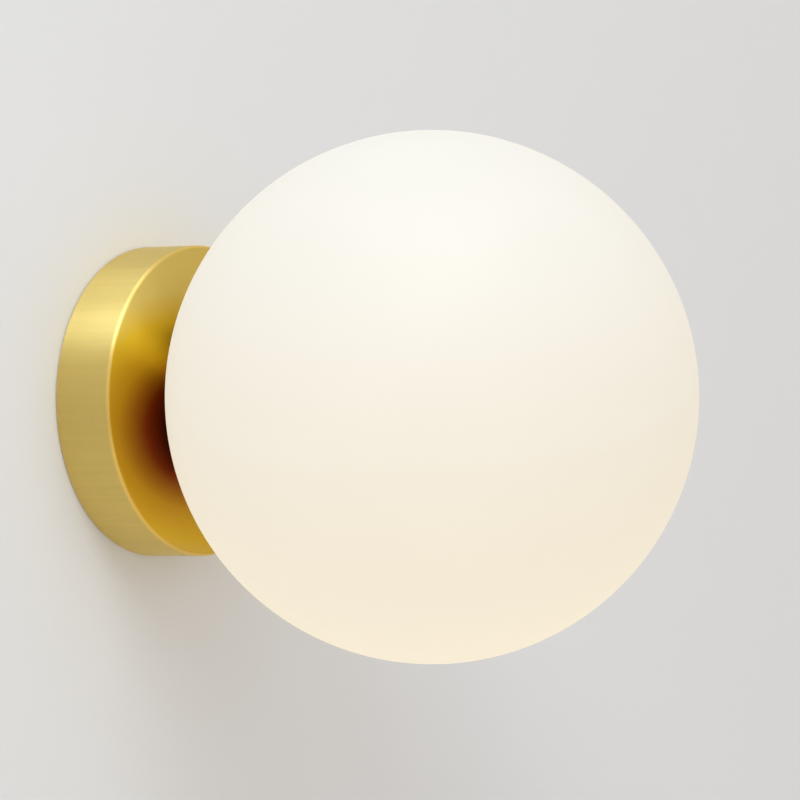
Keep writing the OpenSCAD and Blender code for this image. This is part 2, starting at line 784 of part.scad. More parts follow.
// Base of the capsule lamp
module bulb_base() {
    waist_r = bulb_r - 1.4;
    waist_h = 3;
    color("#f3f1ec") on_wall() difference() {
        union() {
            translate([0, 0, ceramic_top]) cylinder(r = waist_r, h = waist_h + past / 2);
            ring(bulb_r, 0, ceramic_top + waist_h, bulb_base_h - waist_h - 2);
            ring(bulb_r - bulb_t - thread_clear, 0, ceramic_top + waist_h, bulb_base_h - waist_h);
        }
        for (side = [-1, 1], leg = [-1, 1])
            translate([side * pin_spacing / 2 + leg * (pin_w / 2 - pin_wire_r), 0, ceramic_top - past])
                cylinder(r = pin_wire_r + thread_clear, h = 3 + past, $fn = small_fn);
    }
}

// The two wire loops that make contact
module bulb_pins() {
    loop_r = pin_w / 2 - pin_wire_r;
    color("#c9ccd0") on_wall() for (side = [-1, 1]) translate([side * pin_spacing / 2, 0, ceramic_top]) {
        for (leg = [-1, 1])
            translate([leg * loop_r, 0, loop_r - pin_l])
                cylinder(r = pin_wire_r, h = pin_l - loop_r + 2.8, $fn = small_fn);
        translate([0, 0, loop_r - pin_l]) rotate([-90, 0, 0]) rotate_extrude(angle = 180)
            translate([loop_r, 0]) circle(r = pin_wire_r, $fn = small_fn);
    }
}

// Circuit board of the capsule lamp
module bulb_board() {
    color("#e8e6df") on_wall() block_at([board_w, board_t, board_l], board_z);
}

// Light chips on both faces of the board
module bulb_chips() {
    pitch = board_l / chip_rows;
    color("#f2d65a") on_wall() for (face = [-1, 1], column = [-1, 1], row = [0:chip_rows - 1])
        translate([column * board_w / 4, face * (board_t + chip_t) / 2, 0])
            block_at([chip, chip_t, chip], board_z + (row + 0.5) * pitch - chip / 2);
}

// Frosted cover of the capsule lamp
module bulb_cover() {
    cover_z = ceramic_top + bulb_base_h - 2;
    dome_z = ceramic_top + bulb_l - bulb_r;
    in_r = bulb_r - bulb_t;
    color("#f7f4ea") on_wall() difference() {
        union() {
            translate([0, 0, cover_z]) cylinder(r = bulb_r, h = dome_z - cover_z);
            translate([0, 0, dome_z]) sphere(r = bulb_r);
        }
        translate([0, 0, cover_z - past]) cylinder(r = in_r, h = dome_z - cover_z + past);
        translate([0, 0, dome_z]) sphere(r = in_r);
    }
}

wall_bracket();
cable_bush();
canopy();
canopy_screws();
nipple();
nipple_nut();
toothed_washer();
gallery();
neck_seat();
holder_bracket();
lock_nut();
lampholder();
holder_screws();
holder_contacts();
terminal_block();
terminal_tubes();
terminal_screws();
block_screw();
earth_screw();
earth_washer();
earth_lug();
canopy_lug();
live_lead();
neutral_lead();
earth_lead();
thumbscrew_1();
thumbscrew_2();
thumbscrew_3();
screw_tip_1();
screw_tip_2();
screw_tip_3();
globe();
bulb_base();
bulb_pins();
bulb_board();
bulb_chips();
bulb_cover();
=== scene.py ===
# %% [markdown]
# # A globe wall lamp, dressed for its portrait
#
# The construction of this lamp is already settled: a canopy, a gallery, a globe and some thirty
# fittings inside, each at its real size. This lesson gives every piece its finish, and models
# again those pieces whose charm lies in detail that a construction drawing leaves out, such as
# knurls, threads, moulded edges and blown glass. Blender counts in metres. The wall is the plane
# y = 0, and the lamp stands out along -Y.

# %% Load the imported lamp
import json
import math

import bpy
from mathutils import Matrix, Vector


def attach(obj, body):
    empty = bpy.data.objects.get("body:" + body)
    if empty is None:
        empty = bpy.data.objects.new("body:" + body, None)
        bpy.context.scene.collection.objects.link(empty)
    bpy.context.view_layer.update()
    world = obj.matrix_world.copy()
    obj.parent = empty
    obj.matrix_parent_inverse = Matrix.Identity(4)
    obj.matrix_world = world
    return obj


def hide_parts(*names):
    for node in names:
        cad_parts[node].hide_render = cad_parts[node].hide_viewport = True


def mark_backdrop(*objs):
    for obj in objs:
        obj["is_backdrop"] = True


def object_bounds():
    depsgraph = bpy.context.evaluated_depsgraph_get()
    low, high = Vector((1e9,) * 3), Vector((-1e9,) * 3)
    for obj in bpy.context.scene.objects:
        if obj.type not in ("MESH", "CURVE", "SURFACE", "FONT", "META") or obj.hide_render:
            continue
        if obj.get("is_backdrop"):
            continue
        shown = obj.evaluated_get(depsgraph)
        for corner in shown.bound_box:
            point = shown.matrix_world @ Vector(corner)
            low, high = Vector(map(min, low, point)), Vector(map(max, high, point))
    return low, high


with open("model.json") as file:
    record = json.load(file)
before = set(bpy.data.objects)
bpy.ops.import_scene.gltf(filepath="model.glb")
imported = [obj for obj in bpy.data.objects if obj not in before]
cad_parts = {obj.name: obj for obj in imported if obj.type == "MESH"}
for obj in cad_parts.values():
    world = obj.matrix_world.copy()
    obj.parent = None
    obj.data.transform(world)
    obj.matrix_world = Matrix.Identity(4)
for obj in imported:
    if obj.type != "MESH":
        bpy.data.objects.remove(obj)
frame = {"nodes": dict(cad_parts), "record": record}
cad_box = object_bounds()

mm = 0.001
cad = frame["nodes"]
slot_of = {part["node"]: part["material_slot"] for part in frame["record"]["subparts"]}
body_of = {node: body for body, nodes in frame["record"]["behaviour"]["bodies"].items()
           for node in nodes}
# The plain colours that the pieces arrive in make way for the finishes below
for plain_colour in list(bpy.data.materials):
    bpy.data.materials.remove(plain_colour)
print("pieces in the frame:", len(cad))

# %% [markdown]
# ## The camera
#
# The portrait is taken from the left and a little below the middle, with a long lens from about
# two metres. A short lens from close by would fill the picture as well, but it would stretch the
# globe's outline. The camera is aimed at a point inside the globe, and needs neither shift nor
# roll.

# %% Camera
view_place = Vector((-1.6346, -1.2634, -0.0449))
view_target = Vector((0.0268, -0.0986, -0.0002))
view_lens = 238.8
sensor = 36

camera = bpy.data.objects.new("camera", bpy.data.cameras.new("camera"))
camera.data.lens = view_lens
camera.data.sensor_width = sensor
camera.location = view_place
camera.rotation_euler = (view_target - view_place).to_track_quat("-Z", "Y").to_euler()
bpy.context.scene.collection.objects.link(camera)
bpy.context.scene.camera = camera
bpy.context.scene.view_settings.view_transform = "Standard"
print("camera distance, m:", round((view_target - view_place).length, 3))

# %% [markdown]
# ## Colours
#
# Colours are written as the hex values that an artist would pick on a screen. Shaders expect
# linear light, in which a colour twice as bright has twice the number, so one function turns the
# one into the other.


# %% Colours
def linear(hex_colour):
    parts = [int(hex_colour[i : i + 2], 16) / 255 for i in (1, 3, 5)]
    return tuple(p / 12.92 if p <= 0.04045 else ((p + 0.055) / 1.055) ** 2.4 for p in parts) + (1,)


print("middle grey on a screen, in linear light:", round(linear("#808080")[0], 3))

# %% [markdown]
# ## The room around
#
# The surroundings are an even, pale room. The camera sees a light grey ground, mirrors see the
# room a little warmer, and everything else is lit by it. A picture of a real room would do too,
# but then its windows would lie on the brass. Like every material below, the room is a small tree
# of nodes, which starts out empty.


# %% An empty tree for the room
def new_tree(owner):
    owner.use_nodes = True
    owner.node_tree.nodes.clear()
    return owner.node_tree


world = bpy.data.worlds.new("studio")
bpy.context.scene.world = world
tree = new_tree(world)
print("nodes in the room's tree at first:", len(tree.nodes))

# %% [markdown]
# Nodes could be added and linked line by line, but that hides what a tree is about. One function
# adds a node, makes its settings, and fills or links its inputs. Where sockets of a node share a
# name, it takes the one that the settings switch on.


# %% Room
def add(tree, kind, inputs=None, **settings):
    made = tree.nodes.new("ShaderNode" + kind)
    for name, value in settings.items():
        setattr(made, name, value)
    for name, value in (inputs or {}).items():
        in_use = [socket for socket in made.inputs if socket.name == name and socket.enabled]
        socket = in_use[0] if in_use else made.inputs[name]
        if isinstance(value, bpy.types.Node):
            value = next(output for output in value.outputs if output.enabled)
        if isinstance(value, bpy.types.NodeSocket):
            tree.links.new(value, socket)
        else:
            socket.default_value = value
    return made


ray = add(tree, "LightPath").outputs
even_light = add(tree, "Background", {"Color": linear("#FBF8F6"), "Strength": 0.8})
warm_room = add(tree, "Background", {"Color": linear("#FBF1CE"), "Strength": 0.78})
pale_ground = add(tree, "Background", {"Color": linear("#D6D3CF"), "Strength": 1.0})
around = add(tree, "MixShader", {0: ray["Is Glossy Ray"], 1: even_light, 2: warm_room})
seen = add(tree, "MixShader", {0: ray["Is Camera Ray"], 1: around, 2: pale_ground})
add(tree, "OutputWorld", {"Surface": seen})
print("nodes in the room's tree:", len(tree.nodes))

# %% [markdown]
# ## Paint for wall and floor
#
# The lamp hangs on a wall in matt emulsion paint, put on with a roller. That leaves a faint orange
# peel of about a millimetre and a half, which keeps the wall from looking like paper. A relief in
# the mesh would be heavy for so little, so a noise bends the shading only. Seen from behind, the
# paint lets the view through, so that the lamp's back can be looked at. Mirrors see it warmer.


# %% Paint
def matt_paint(name, colour, mirrored_colour):
    peel_width = 1.5 * mm
    peel_depth = 0.2 * mm
    material = bpy.data.materials.new(name)
    tree = new_tree(material)
    mirrored = add(tree, "LightPath").outputs["Is Glossy Ray"]
    shown = add(tree, "Mix", {"Factor": mirrored, "A": linear(colour),
                              "B": linear(mirrored_colour)}, data_type="RGBA")
    place = add(tree, "TexCoord").outputs["Object"]
    peel = add(tree, "TexNoise", {"Vector": place, "Scale": 1 / peel_width, "Detail": 2.0})
    bump = add(tree, "Bump", {"Height": peel, "Strength": 0.05, "Distance": peel_depth})
    paint = add(tree, "BsdfPrincipled", {"Base Color": shown, "Roughness": 0.9, "Normal": bump})
    behind = add(tree, "NewGeometry").outputs["Backfacing"]
    sided = add(tree, "MixShader", {0: behind, 1: paint, 2: add(tree, "BsdfTransparent")})
    add(tree, "OutputMaterial", {"Surface": sided})
    return material


wall_paint = matt_paint("wall_paint", "#E4E3E4", "#E0DAC2")
floor_paint = matt_paint("floor_paint", "#E6E4E0", "#DACBA4")
print("nodes in a paint:", len(wall_paint.node_tree.nodes))

# %% [markdown]
# ## The wall
#
# One plane would do for the wall, but then the inside of the canopy would be black from behind.
# It is made as two rings of edges, bridged, with a round opening that the canopy covers. Bridging
# turns the faces to the back, so they are flipped. The wall stands half a millimetre behind the
# lamp and throws no shadow on it.

# %% Wall
wall_radius = 4
opening_radius = 59 * mm
gap_behind = 0.5 * mm
ring_steps = 128

bpy.ops.object.select_all(action="DESELECT")
upright = {"location": (0, gap_behind, 0), "rotation": (math.radians(90), 0, 0)}
bpy.ops.mesh.primitive_circle_add(vertices=ring_steps, radius=wall_radius, **upright)
bpy.ops.object.mode_set(mode="EDIT")
bpy.ops.mesh.primitive_circle_add(vertices=ring_steps, radius=opening_radius, **upright)
bpy.ops.mesh.select_all(action="SELECT")
bpy.ops.mesh.bridge_edge_loops()
bpy.ops.mesh.flip_normals()
bpy.ops.object.mode_set(mode="OBJECT")
wall = bpy.context.object
wall.name = "wall"
wall.data.materials.append(wall_paint)
wall.visible_shadow = False
wall.visible_transmission = False
facing = wall.matrix_world.to_3x3() @ wall.data.polygons[0].normal
print("the wall faces:", [round(c, 2) for c in facing])

# %% [markdown]
# ## The floor
#
# A wide pale floor lies under the lamp. It is far enough below to stay out of the portrait, and
# its pale paint gives the globe some light from underneath.

# %% Floor
floor_size = 40
floor_drop = 0.9

bpy.ops.object.select_all(action="DESELECT")
bpy.ops.mesh.primitive_plane_add(size=floor_size, location=(0, 0, -floor_drop))
floor = bpy.context.object
floor.name = "floor"
floor.data.materials.append(floor_paint)
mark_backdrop(wall, floor)
print("floor below the lamp, m:", floor_drop)

# %% [markdown]
# ## Two softboxes
#
# A large softbox above and to the left gives the canopy its bright band, and a weak one overhead
# evens out the globe. A sun lamp would be simpler, but its highlight would be a hard line. Both
# have the slightly blue light of a studio lamp.

# %% Softboxes
lamp_middle = Vector((0, -100 * mm, 0))


def softbox(name, direction, distance, size, watts, colour):
    lamp = bpy.data.objects.new(name, bpy.data.lights.new(name, "AREA"))
    lamp.data.shape = "SQUARE"
    lamp.data.size = size
    lamp.data.energy = watts
    lamp.data.color = linear(colour)[:3]
    lamp.location = Vector(direction).normalized() * distance + lamp_middle
    lamp.rotation_euler = (lamp_middle - lamp.location).to_track_quat("-Z", "Y").to_euler()
    bpy.context.scene.collection.objects.link(lamp)
    print(name, "softbox at:", [round(c, 2) for c in lamp.location])


softbox("key", (-0.57, -0.4, 0.785), 2.2, 1.0, 23, "#ECF8FF")
softbox("top", (-0.1, -0.2, 1.0), 2.4, 1.2, 10, "#ECF8FF")

# %% [markdown]
# ## Finishes: moulded plastic and silicone
#
# Each finish has the marks that its making leaves, at their real size. The plainest come first.
# The plastics are moulded against spark-eroded steel, which leaves a fine grain and an uneven
# gloss. The silicone parts come from coarser tools and have the soft sheen of rubber. Photographs
# of such skins would do too, but a noise has no seams. Nearly all its values lie between 0.3 and
# 0.7, so that reach of it is used.


# %% Moulded plastics
def begin(name):
    material = bpy.data.materials.new(name)
    tree = new_tree(material)
    return material, tree, add(tree, "TexCoord").outputs["Object"]


noise_reach = {"From Min": 0.3, "From Max": 0.7}


def moulded(name, colour, roughness, grain_width=0.35):
    patch_width = 6 * mm
    grain_depth = 0.02 * mm
    uneven = 0.05
    material, tree, place = begin(name)
    grain = add(tree, "TexNoise", {"Vector": place, "Scale": 1 / (grain_width * mm),
                                   "Detail": 3.0})
    rough = add(tree, "MapRange", {"Value": grain, **noise_reach,
                                   "To Min": roughness - uneven, "To Max": roughness + uneven})
    patches = add(tree, "TexNoise", {"Vector": place, "Scale": 1 / patch_width, "Detail": 2.0})
    tone = add(tree, "MapRange", {"Value": patches, **noise_reach,
                                  "To Min": 0.96, "To Max": 1.04})
    relief = add(tree, "Bump", {"Height": grain, "Strength": 0.3, "Distance": grain_depth})
    shader = add(tree, "BsdfPrincipled", {
        "Base Color": add(tree, "HueSaturation", {"Color": linear(colour), "Value": tone}),
        "Roughness": rough, "Normal": relief})
    add(tree, "OutputMaterial", {"Surface": shader})
    return material


bush_plastic = moulded("bush_plastic", "#232326", 0.5)
polyamide = moulded("polyamide", "#E8E1CE", 0.42)
lamp_plastic = moulded("lamp_plastic", "#EFEDE6", 0.35)
print("nodes in a moulded finish:", len(polyamide.node_tree.nodes))

# %% Silicones
silicone = moulded("silicone", "#E3E1DA", 0.55, 0.6)
brown_silicone = moulded("brown_silicone", "#5B3220", 0.5, 0.6)
blue_silicone = moulded("blue_silicone", "#2C6DB5", 0.5, 0.6)
print("silicones:", silicone.name, brown_silicone.name, blue_silicone.name)

# %% [markdown]
# ### The earth lead's sleeve
#
# An earth lead is yellow with two green stripes that run along it with a slow twist, as they
# leave the extruder. Painting them by place would cut through the bends. The lead is a tube that
# has its own coordinates, x round it and y along it, so the stripes are drawn by those.


# %% Striped sleeve
def striped(name, ground, stripe, stripe_share):
    twist = 1.5
    stripes = 2.0
    grain_width = 0.6 * mm
    grain_depth = 0.02 * mm
    material, tree, place = begin(name)
    parts = add(tree, "SeparateXYZ", {"Vector": add(tree, "UVMap")}).outputs
    twisted = add(tree, "Math", {0: parts["Y"], 1: twist}, operation="MULTIPLY")
    turn = add(tree, "Math", {0: parts["X"], 1: twisted}, operation="ADD")
    repeated = add(tree, "Math", {0: turn, 1: stripes}, operation="MULTIPLY")
    share = add(tree, "Math", {0: repeated}, operation="FRACT")
    on_stripe = add(tree, "Math", {0: share, 1: stripe_share}, operation="LESS_THAN")
    colours = add(tree, "Mix", {"Factor": on_stripe, "A": linear(ground), "B": linear(stripe)},
                  data_type="RGBA")
    grain = add(tree, "TexNoise", {"Vector": place, "Scale": 1 / grain_width, "Detail": 3.0})
    rough = add(tree, "MapRange", {"Value": grain, **noise_reach, "To Min": 0.45, "To Max": 0.55})
    relief = add(tree, "Bump", {"Height": grain, "Strength": 0.3, "Distance": grain_depth})
    shader = add(tree, "BsdfPrincipled", {"Base Color": colours, "Roughness": rough,
                                          "Normal": relief})
    add(tree, "OutputMaterial", {"Surface": shader})
    return material


earth_silicone = striped("earth_silicone", "#E6C81F", "#2C8A3B", 0.42)
print("nodes in the sleeve:", len(earth_silicone.node_tree.nodes))

# %% [markdown]
# ### Glazed ceramic
#
# The lampholder is glazed stoneware: a matt white body with small flecks, under a hard, clear
# glaze. One glossy shader would make it look like plastic. The shader's coat stands for the
# glaze, so the body shows through a second, sharper gloss with the waves that a glaze sets in.


# %% Glazed ceramic
def glazed(name, colour, fleck):
    fleck_width = 0.6 * mm
    wave_width = 2.5 * mm
    wave_depth = 0.03 * mm
    material, tree, place = begin(name)
    flecks = add(tree, "TexNoise", {"Vector": place, "Scale": 1 / fleck_width, "Detail": 4.0})
    share = add(tree, "MapRange", {"Value": flecks, **noise_reach})
    body = add(tree, "Mix", {"Factor": share, "A": linear(fleck), "B": linear(colour)},
               data_type="RGBA")
    wave = add(tree, "TexNoise", {"Vector": place, "Scale": 1 / wave_width, "Detail": 2.0})
    relief = add(tree, "Bump", {"Height": wave, "Strength": 0.4, "Distance": wave_depth})
    shader = add(tree, "BsdfPrincipled", {
        "Base Color": body, "Roughness": 0.55, "Normal": relief,
        "Coat Weight": 1.0, "Coat Roughness": 0.05, "Coat Normal": relief})
    add(tree, "OutputMaterial", {"Surface": shader})
    return material


glazed_ceramic = glazed("glazed_ceramic", "#F2F0EA", "#E4E0D6")
print("nodes in the glaze:", len(glazed_ceramic.node_tree.nodes))

# %% [markdown]
# ### The capsule lamp's own materials
#
# The circuit board has a white solder mask, cured over woven glass, which leaves a faint swell.
# The real weave is half a millimetre wide. That is too fine to show through the cover, so it is
# drawn 6 mm wide. The chips are silicone with yellow phosphor, poured over the lights, and they
# are lit. The cover is moulded and then frosted, so it lets their light through and hides them.


# %% Circuit board
def woven_board(name, colour, weave):
    weave_depth = 0.02 * mm
    # At a scale of 1 the ridges of a diagonal wave lie a tenth of tau apart
    ridges_apart = math.tau / 10
    material, tree, place = begin(name)
    threads = add(tree, "TexWave", {"Vector": place, "Scale": ridges_apart / (weave * mm),
                                    "Distortion": 0.4}, bands_direction="DIAGONAL")
    relief = add(tree, "Bump", {"Height": threads.outputs["Fac"], "Strength": 0.4,
                                "Distance": weave_depth})
    shader = add(tree, "BsdfPrincipled", {"Base Color": linear(colour), "Roughness": 0.35,
                                          "Normal": relief})
    add(tree, "OutputMaterial", {"Surface": shader})
    return material


board = woven_board("board", "#EFEEE7", 6.283)
print("nodes in the board:", len(board.node_tree.nodes))


# %% Lit chips
def phosphor(name, colour, speck, light, glow):
    speck_width = 0.15 * mm
    material, tree, place = begin(name)
    specks = add(tree, "TexNoise", {"Vector": place, "Scale": 1 / speck_width, "Detail": 2.0})
    share = add(tree, "MapRange", {"Value": specks, **noise_reach})
    powder = add(tree, "Mix", {"Factor": share, "A": linear(colour), "B": linear(speck)},
                 data_type="RGBA")
    shader = add(tree, "BsdfPrincipled", {"Base Color": powder, "Roughness": 0.4,
                                          "Emission Color": linear(light),
                                          "Emission Strength": glow})
    add(tree, "OutputMaterial", {"Surface": shader})
    return material


light_chip = phosphor("light_chip", "#E9BE4E", "#F7D679", "#FFE3B4", 1.0)
print("nodes in a chip:", len(light_chip.node_tree.nodes))


# %% Frosted cover
def frosted(name, colour):
    frost_width = 0.3 * mm
    frost_depth = 0.02 * mm
    acrylic_ior = 1.49
    material, tree, place = begin(name)
    frost = add(tree, "TexNoise", {"Vector": place, "Scale": 1 / frost_width, "Detail": 3.0})
    rough = add(tree, "MapRange", {"Value": frost, **noise_reach, "To Min": 0.5, "To Max": 0.6})
    relief = add(tree, "Bump", {"Height": frost, "Strength": 0.3, "Distance": frost_depth})
    shader = add(tree, "BsdfPrincipled", {
        "Base Color": linear(colour), "Roughness": rough, "IOR": acrylic_ior,
        "Transmission Weight": 0.6, "Normal": relief})
    add(tree, "OutputMaterial", {"Surface": shader})
    return material


frosted_cover = frosted("frosted_cover", "#F4F2EC")
print("nodes in the cover:", len(frosted_cover.node_tree.nodes))

# %% [markdown]
# ### Plated steel and tinned copper
#
# The hidden steel is zinc-plated and blue passivated in a bath: a cool grey with faint cloudy
# crystals. The earth lugs are tinned copper, duller and a touch warmer, and the lamp's pins are
# drawn wire with a brighter tin. A noise of a few millimetres stands for the crystals. It tints
# the metal and changes its gloss, so that no two places mirror alike.


# %% Plated metals
def plated(name, colour, shadow, roughness, cloud_width):
    speck_width = 0.4 * mm
    speck_depth = 0.006 * mm
    uneven = 0.07
    material, tree, place = begin(name)
    clouds = add(tree, "TexNoise", {"Vector": place, "Scale": 1 / (cloud_width * mm),
                                    "Detail": 3.0})
    share = add(tree, "MapRange", {"Value": clouds, **noise_reach})
    metal = add(tree, "Mix", {"Factor": share, "A": linear(shadow), "B": linear(colour)},
                data_type="RGBA")
    rough = add(tree, "MapRange", {"Value": clouds, **noise_reach,
                                   "To Min": roughness - uneven, "To Max": roughness + uneven})
    specks = add(tree, "TexNoise", {"Vector": place, "Scale": 1 / speck_width, "Detail": 2.0})
    relief = add(tree, "Bump", {"Height": specks, "Strength": 0.3, "Distance": speck_depth})
    shader = add(tree, "BsdfPrincipled", {"Base Color": metal, "Metallic": 1.0,
                                          "Roughness": rough, "Normal": relief})
    add(tree, "OutputMaterial", {"Surface": shader})
    return material


zinc_steel = plated("zinc_steel", "#C6CAD0", "#B4B8C1", 0.34, 3.5)
tinned_copper = plated("tinned_copper", "#CFCBC3", "#B7B2AA", 0.33, 2.0)
pin_wire = plated("pin_wire", "#D2D0CA", "#BDBAB4", 0.24, 1.0)
print("nodes in a plated metal:", len(zinc_steel.node_tree.nodes))

# %% [markdown]
# ### Opal glass
#
# The globe is white glass between two clear layers, etched in acid until it has no gloss to speak
# of. Scattering inside the glass could be traced, but it would be slow and full of noise, so the
# lit glass is a painted glow on a pale body: cream from the lamp inside, painted brighter and
# warmer below, and with painted shade round the neck, where the gallery would shade it, so that
# it doesn't glow there. Blown glass is wavy over some 30 mm.


# %% Opal glass
def opal(name, colour, unlit, glow_top, glow_low, glow):
    wave_width = 30 * mm
    wave_depth = 0.15 * mm
    etch_width = 0.8 * mm
    low_to_top = {"From Min": -100 * mm, "From Max": 100 * mm}
    neck_to_front = {"From Min": -34 * mm, "From Max": -50 * mm}
    material, tree, place = begin(name)
    parts = add(tree, "SeparateXYZ", {"Vector": place}).outputs
    upper = add(tree, "MapRange", {"Value": parts["Z"], **low_to_top})
    front = add(tree, "MapRange", {"Value": parts["Y"], **neck_to_front},
                interpolation_type="SMOOTHSTEP")
    light = add(tree, "Mix", {"Factor": upper, "A": linear(glow_low), "B": linear(glow_top)},
                data_type="RGBA")
    shaded = add(tree, "Mix", {"Factor": front, "A": linear("#000000"), "B": light},
                 data_type="RGBA")
    body = add(tree, "Mix", {"Factor": front, "A": linear(unlit), "B": linear(colour)},
               data_type="RGBA")
    wave = add(tree, "TexNoise", {"Vector": place, "Scale": 1 / wave_width, "Detail": 1.0})
    tone = add(tree, "MapRange", {"Value": wave, **noise_reach, "To Min": 0.99, "To Max": 1.01})
    relief = add(tree, "Bump", {"Height": wave, "Strength": 0.5, "Distance": wave_depth})
    etch = add(tree, "TexNoise", {"Vector": place, "Scale": 1 / etch_width, "Detail": 2.0})
    rough = add(tree, "MapRange", {"Value": etch, **noise_reach, "To Min": 0.55, "To Max": 0.62})
    shader = add(tree, "BsdfPrincipled", {
        "Base Color": add(tree, "HueSaturation", {"Color": body, "Value": tone}),
        "Roughness": rough, "Specular IOR Level": 0.3, "Normal": relief,
        "Emission Color": shaded, "Emission Strength": glow})
    add(tree, "OutputMaterial", {"Surface": shader})
    return material


# Its glow is painted light, brighter below, with painted shade round the neck
opal_glass = opal("opal_glass", "#A2A19F", "#E3E1DC", "#D6D2C9", "#FFEFD0", 0.66)
print("nodes in the opal glass:", len(opal_glass.node_tree.nodes))

# %% [markdown]
# ### Turned brass and bronze
#
# The canopy is satin brass: polished on the lathe with a fine pad while it spins, then lacquered.
# The nipple and the contacts are turned brass without lacquer, and the gallery is a near-black
# brown, which the canopy's face mirrors dark. The pad's circles spread a reflection across
# themselves, which is what anisotropy stands for, so the highlight is a band that runs straight
# along the side.
#
# The strokes run round the axis. A wave texture in rings would do on the face but not on the
# side. A noise read by the direction from the axis, which changes slowly, and by the distance
# along the skin, which changes quickly, does on both. The pad's real strokes are 0.2 mm wide,
# finer than a pixel, so they are drawn 0.6 mm wide.


# %% Turned metals
def around_axis(tree, place, arc_share, line_width):
    parts = add(tree, "SeparateXYZ", {"Vector": place}).outputs
    flat = add(tree, "CombineXYZ", {"X": parts["X"], "Z": parts["Z"]})
    radius = add(tree, "VectorMath", {0: flat}, operation="LENGTH")
    heading = add(tree, "VectorMath", {0: flat}, operation="NORMALIZE")
    slow = add(tree, "VectorMath", {0: heading, "Scale": 1 / arc_share}, operation="SCALE")
    along = add(tree, "Math", {0: radius, 1: parts["Y"]}, operation="SUBTRACT")
    quick = add(tree, "Math", {0: along, 1: 1 / (line_width * mm)}, operation="MULTIPLY")
    slow_parts = add(tree, "SeparateXYZ", {"Vector": slow}).outputs
    return add(tree, "CombineXYZ", {"X": slow_parts["X"], "Y": quick, "Z": slow_parts["Z"]})


def turned_metal(name, colour, roughness, line_width, line_depth, spread, lacquer):
    stroke_share = 0.35
    uneven = 0.03
    material, tree, place = begin(name)
    strokes = add(tree, "TexNoise", {"Vector": around_axis(tree, place, stroke_share, line_width),
                                     "Scale": 1.0, "Detail": 3.0, "Roughness": 0.65})
    rough = add(tree, "MapRange", {"Value": strokes, **noise_reach,
                                   "To Min": roughness - uneven, "To Max": roughness + uneven})
    grooves = add(tree, "Bump", {"Height": strokes, "Strength": 0.35,
                                 "Distance": line_depth * mm})
    shader = add(tree, "BsdfPrincipled", {
        "Base Color": linear(colour), "Metallic": 1.0, "Roughness": rough, "Normal": grooves,
        "Anisotropic": spread, "Anisotropic Rotation": 0.25,
        "Tangent": add(tree, "Tangent", direction_type="RADIAL", axis="Y"),
        "Coat Weight": lacquer, "Coat Roughness": 0.3})
    add(tree, "OutputMaterial", {"Surface": shader})
    return material


canopy_gold = "#E7D28A"
satin_brass = turned_metal("satin_brass", canopy_gold, 0.47, 0.6, 0.004, 0.9, 0.3)
raw_brass = turned_metal("raw_brass", "#B99A55", 0.36, 0.4, 0.008, 0.4, 0.0)
dark_bronze = turned_metal("dark_bronze", "#2A0F08", 0.45, 0.4, 0.004, 0.6, 0.0)
print("nodes in a turned metal:", len(raw_brass.node_tree.nodes))

# %% [markdown]
# ### Painted bands along the canopy's side
#
# Faint straight bands lie along the canopy's outer side: painted reflections, standing for the
# bands of room light that a brushed side mirrors. They are wider than the strokes and change the
# tone by a fortieth at most. They are left off the inside of the canopy.

# %% Painted bands along the side
line_share = 0.035
line_length = 60
outer_skin = {"From Min": 59 * mm, "From Max": 59.6 * mm, "To Max": 0.05}

tree = satin_brass.node_tree
place = tree.nodes["Texture Coordinate"].outputs["Object"]
from_axis = add(tree, "VectorMath", {0: place, 1: (1, 0, 1)}, operation="MULTIPLY")
radius = add(tree, "VectorMath", {0: from_axis}, operation="LENGTH")
on_side = add(tree, "MapRange", {"Value": radius, **outer_skin})
# Noise for the painted reflection bands
painted_band_noise = add(tree, "TexNoise", {"Vector": around_axis(tree, place, line_share, line_length),
                               "Scale": 1.0, "Detail": 2.0})
signed = add(tree, "MapRange", {"Value": painted_band_noise, **noise_reach, "To Min": -0.5, "To Max": 0.5})
change = add(tree, "Math", {0: signed, 1: on_side}, operation="MULTIPLY")
tone = add(tree, "Math", {0: change, 1: 1.0}, operation="ADD")
side_painted_bands = add(tree, "HueSaturation", {"Color": linear(canopy_gold), "Value": tone})
print("the tone changes by, at most:", outer_skin["To Max"] / 2)

# %% [markdown]
# ### Painted shade on the face
#
# Round the gallery the canopy's face is painted darker, most of all a little below it, from gold
# through orange to a dark brown: painted shade and a painted dark reflection of the shaded gap
# behind the globe. It could be painted on the mesh, but a few nodes draw it as well: by the
# distance from its own middle, and wider than it is high. Its colours follow one another in even
# steps from that middle outwards.

# %% Painted shade on the face
middle_drop = 11 * mm
wider = 1.7
painted_shade_reach = {"From Min": 10 * mm, "From Max": 54 * mm}
# Colours of the painted shade, from its dark middle outwards
painted_shade_colours = ("#380806", "#A44210", "#DFAC1A", "#ECC42A", "#ECD276")

parts = add(tree, "SeparateXYZ", {"Vector": place}).outputs
across = add(tree, "Math", {0: parts["X"], 1: wider}, operation="DIVIDE")
rise = add(tree, "Math", {0: parts["Z"], 1: middle_drop}, operation="ADD")
flat = add(tree, "CombineXYZ", {"X": across, "Y": rise})
distance = add(tree, "VectorMath", {0: flat}, operation="LENGTH")
outwards = add(tree, "MapRange", {"Value": distance, **painted_shade_reach})
face_painted_shade = add(tree, "ValToRGB", {"Fac": outwards})
stops = face_painted_shade.color_ramp.elements
stops[0].color = linear(painted_shade_colours[0])
stops[1].color = linear(painted_shade_colours[-1])
for number, colour in enumerate(painted_shade_colours[1:-1], 1):
    stops.new(number / (len(painted_shade_colours) - 1)).color = linear(colour)
print("stops in the painted_shade:", [round(stop.position, 2) for stop in stops])

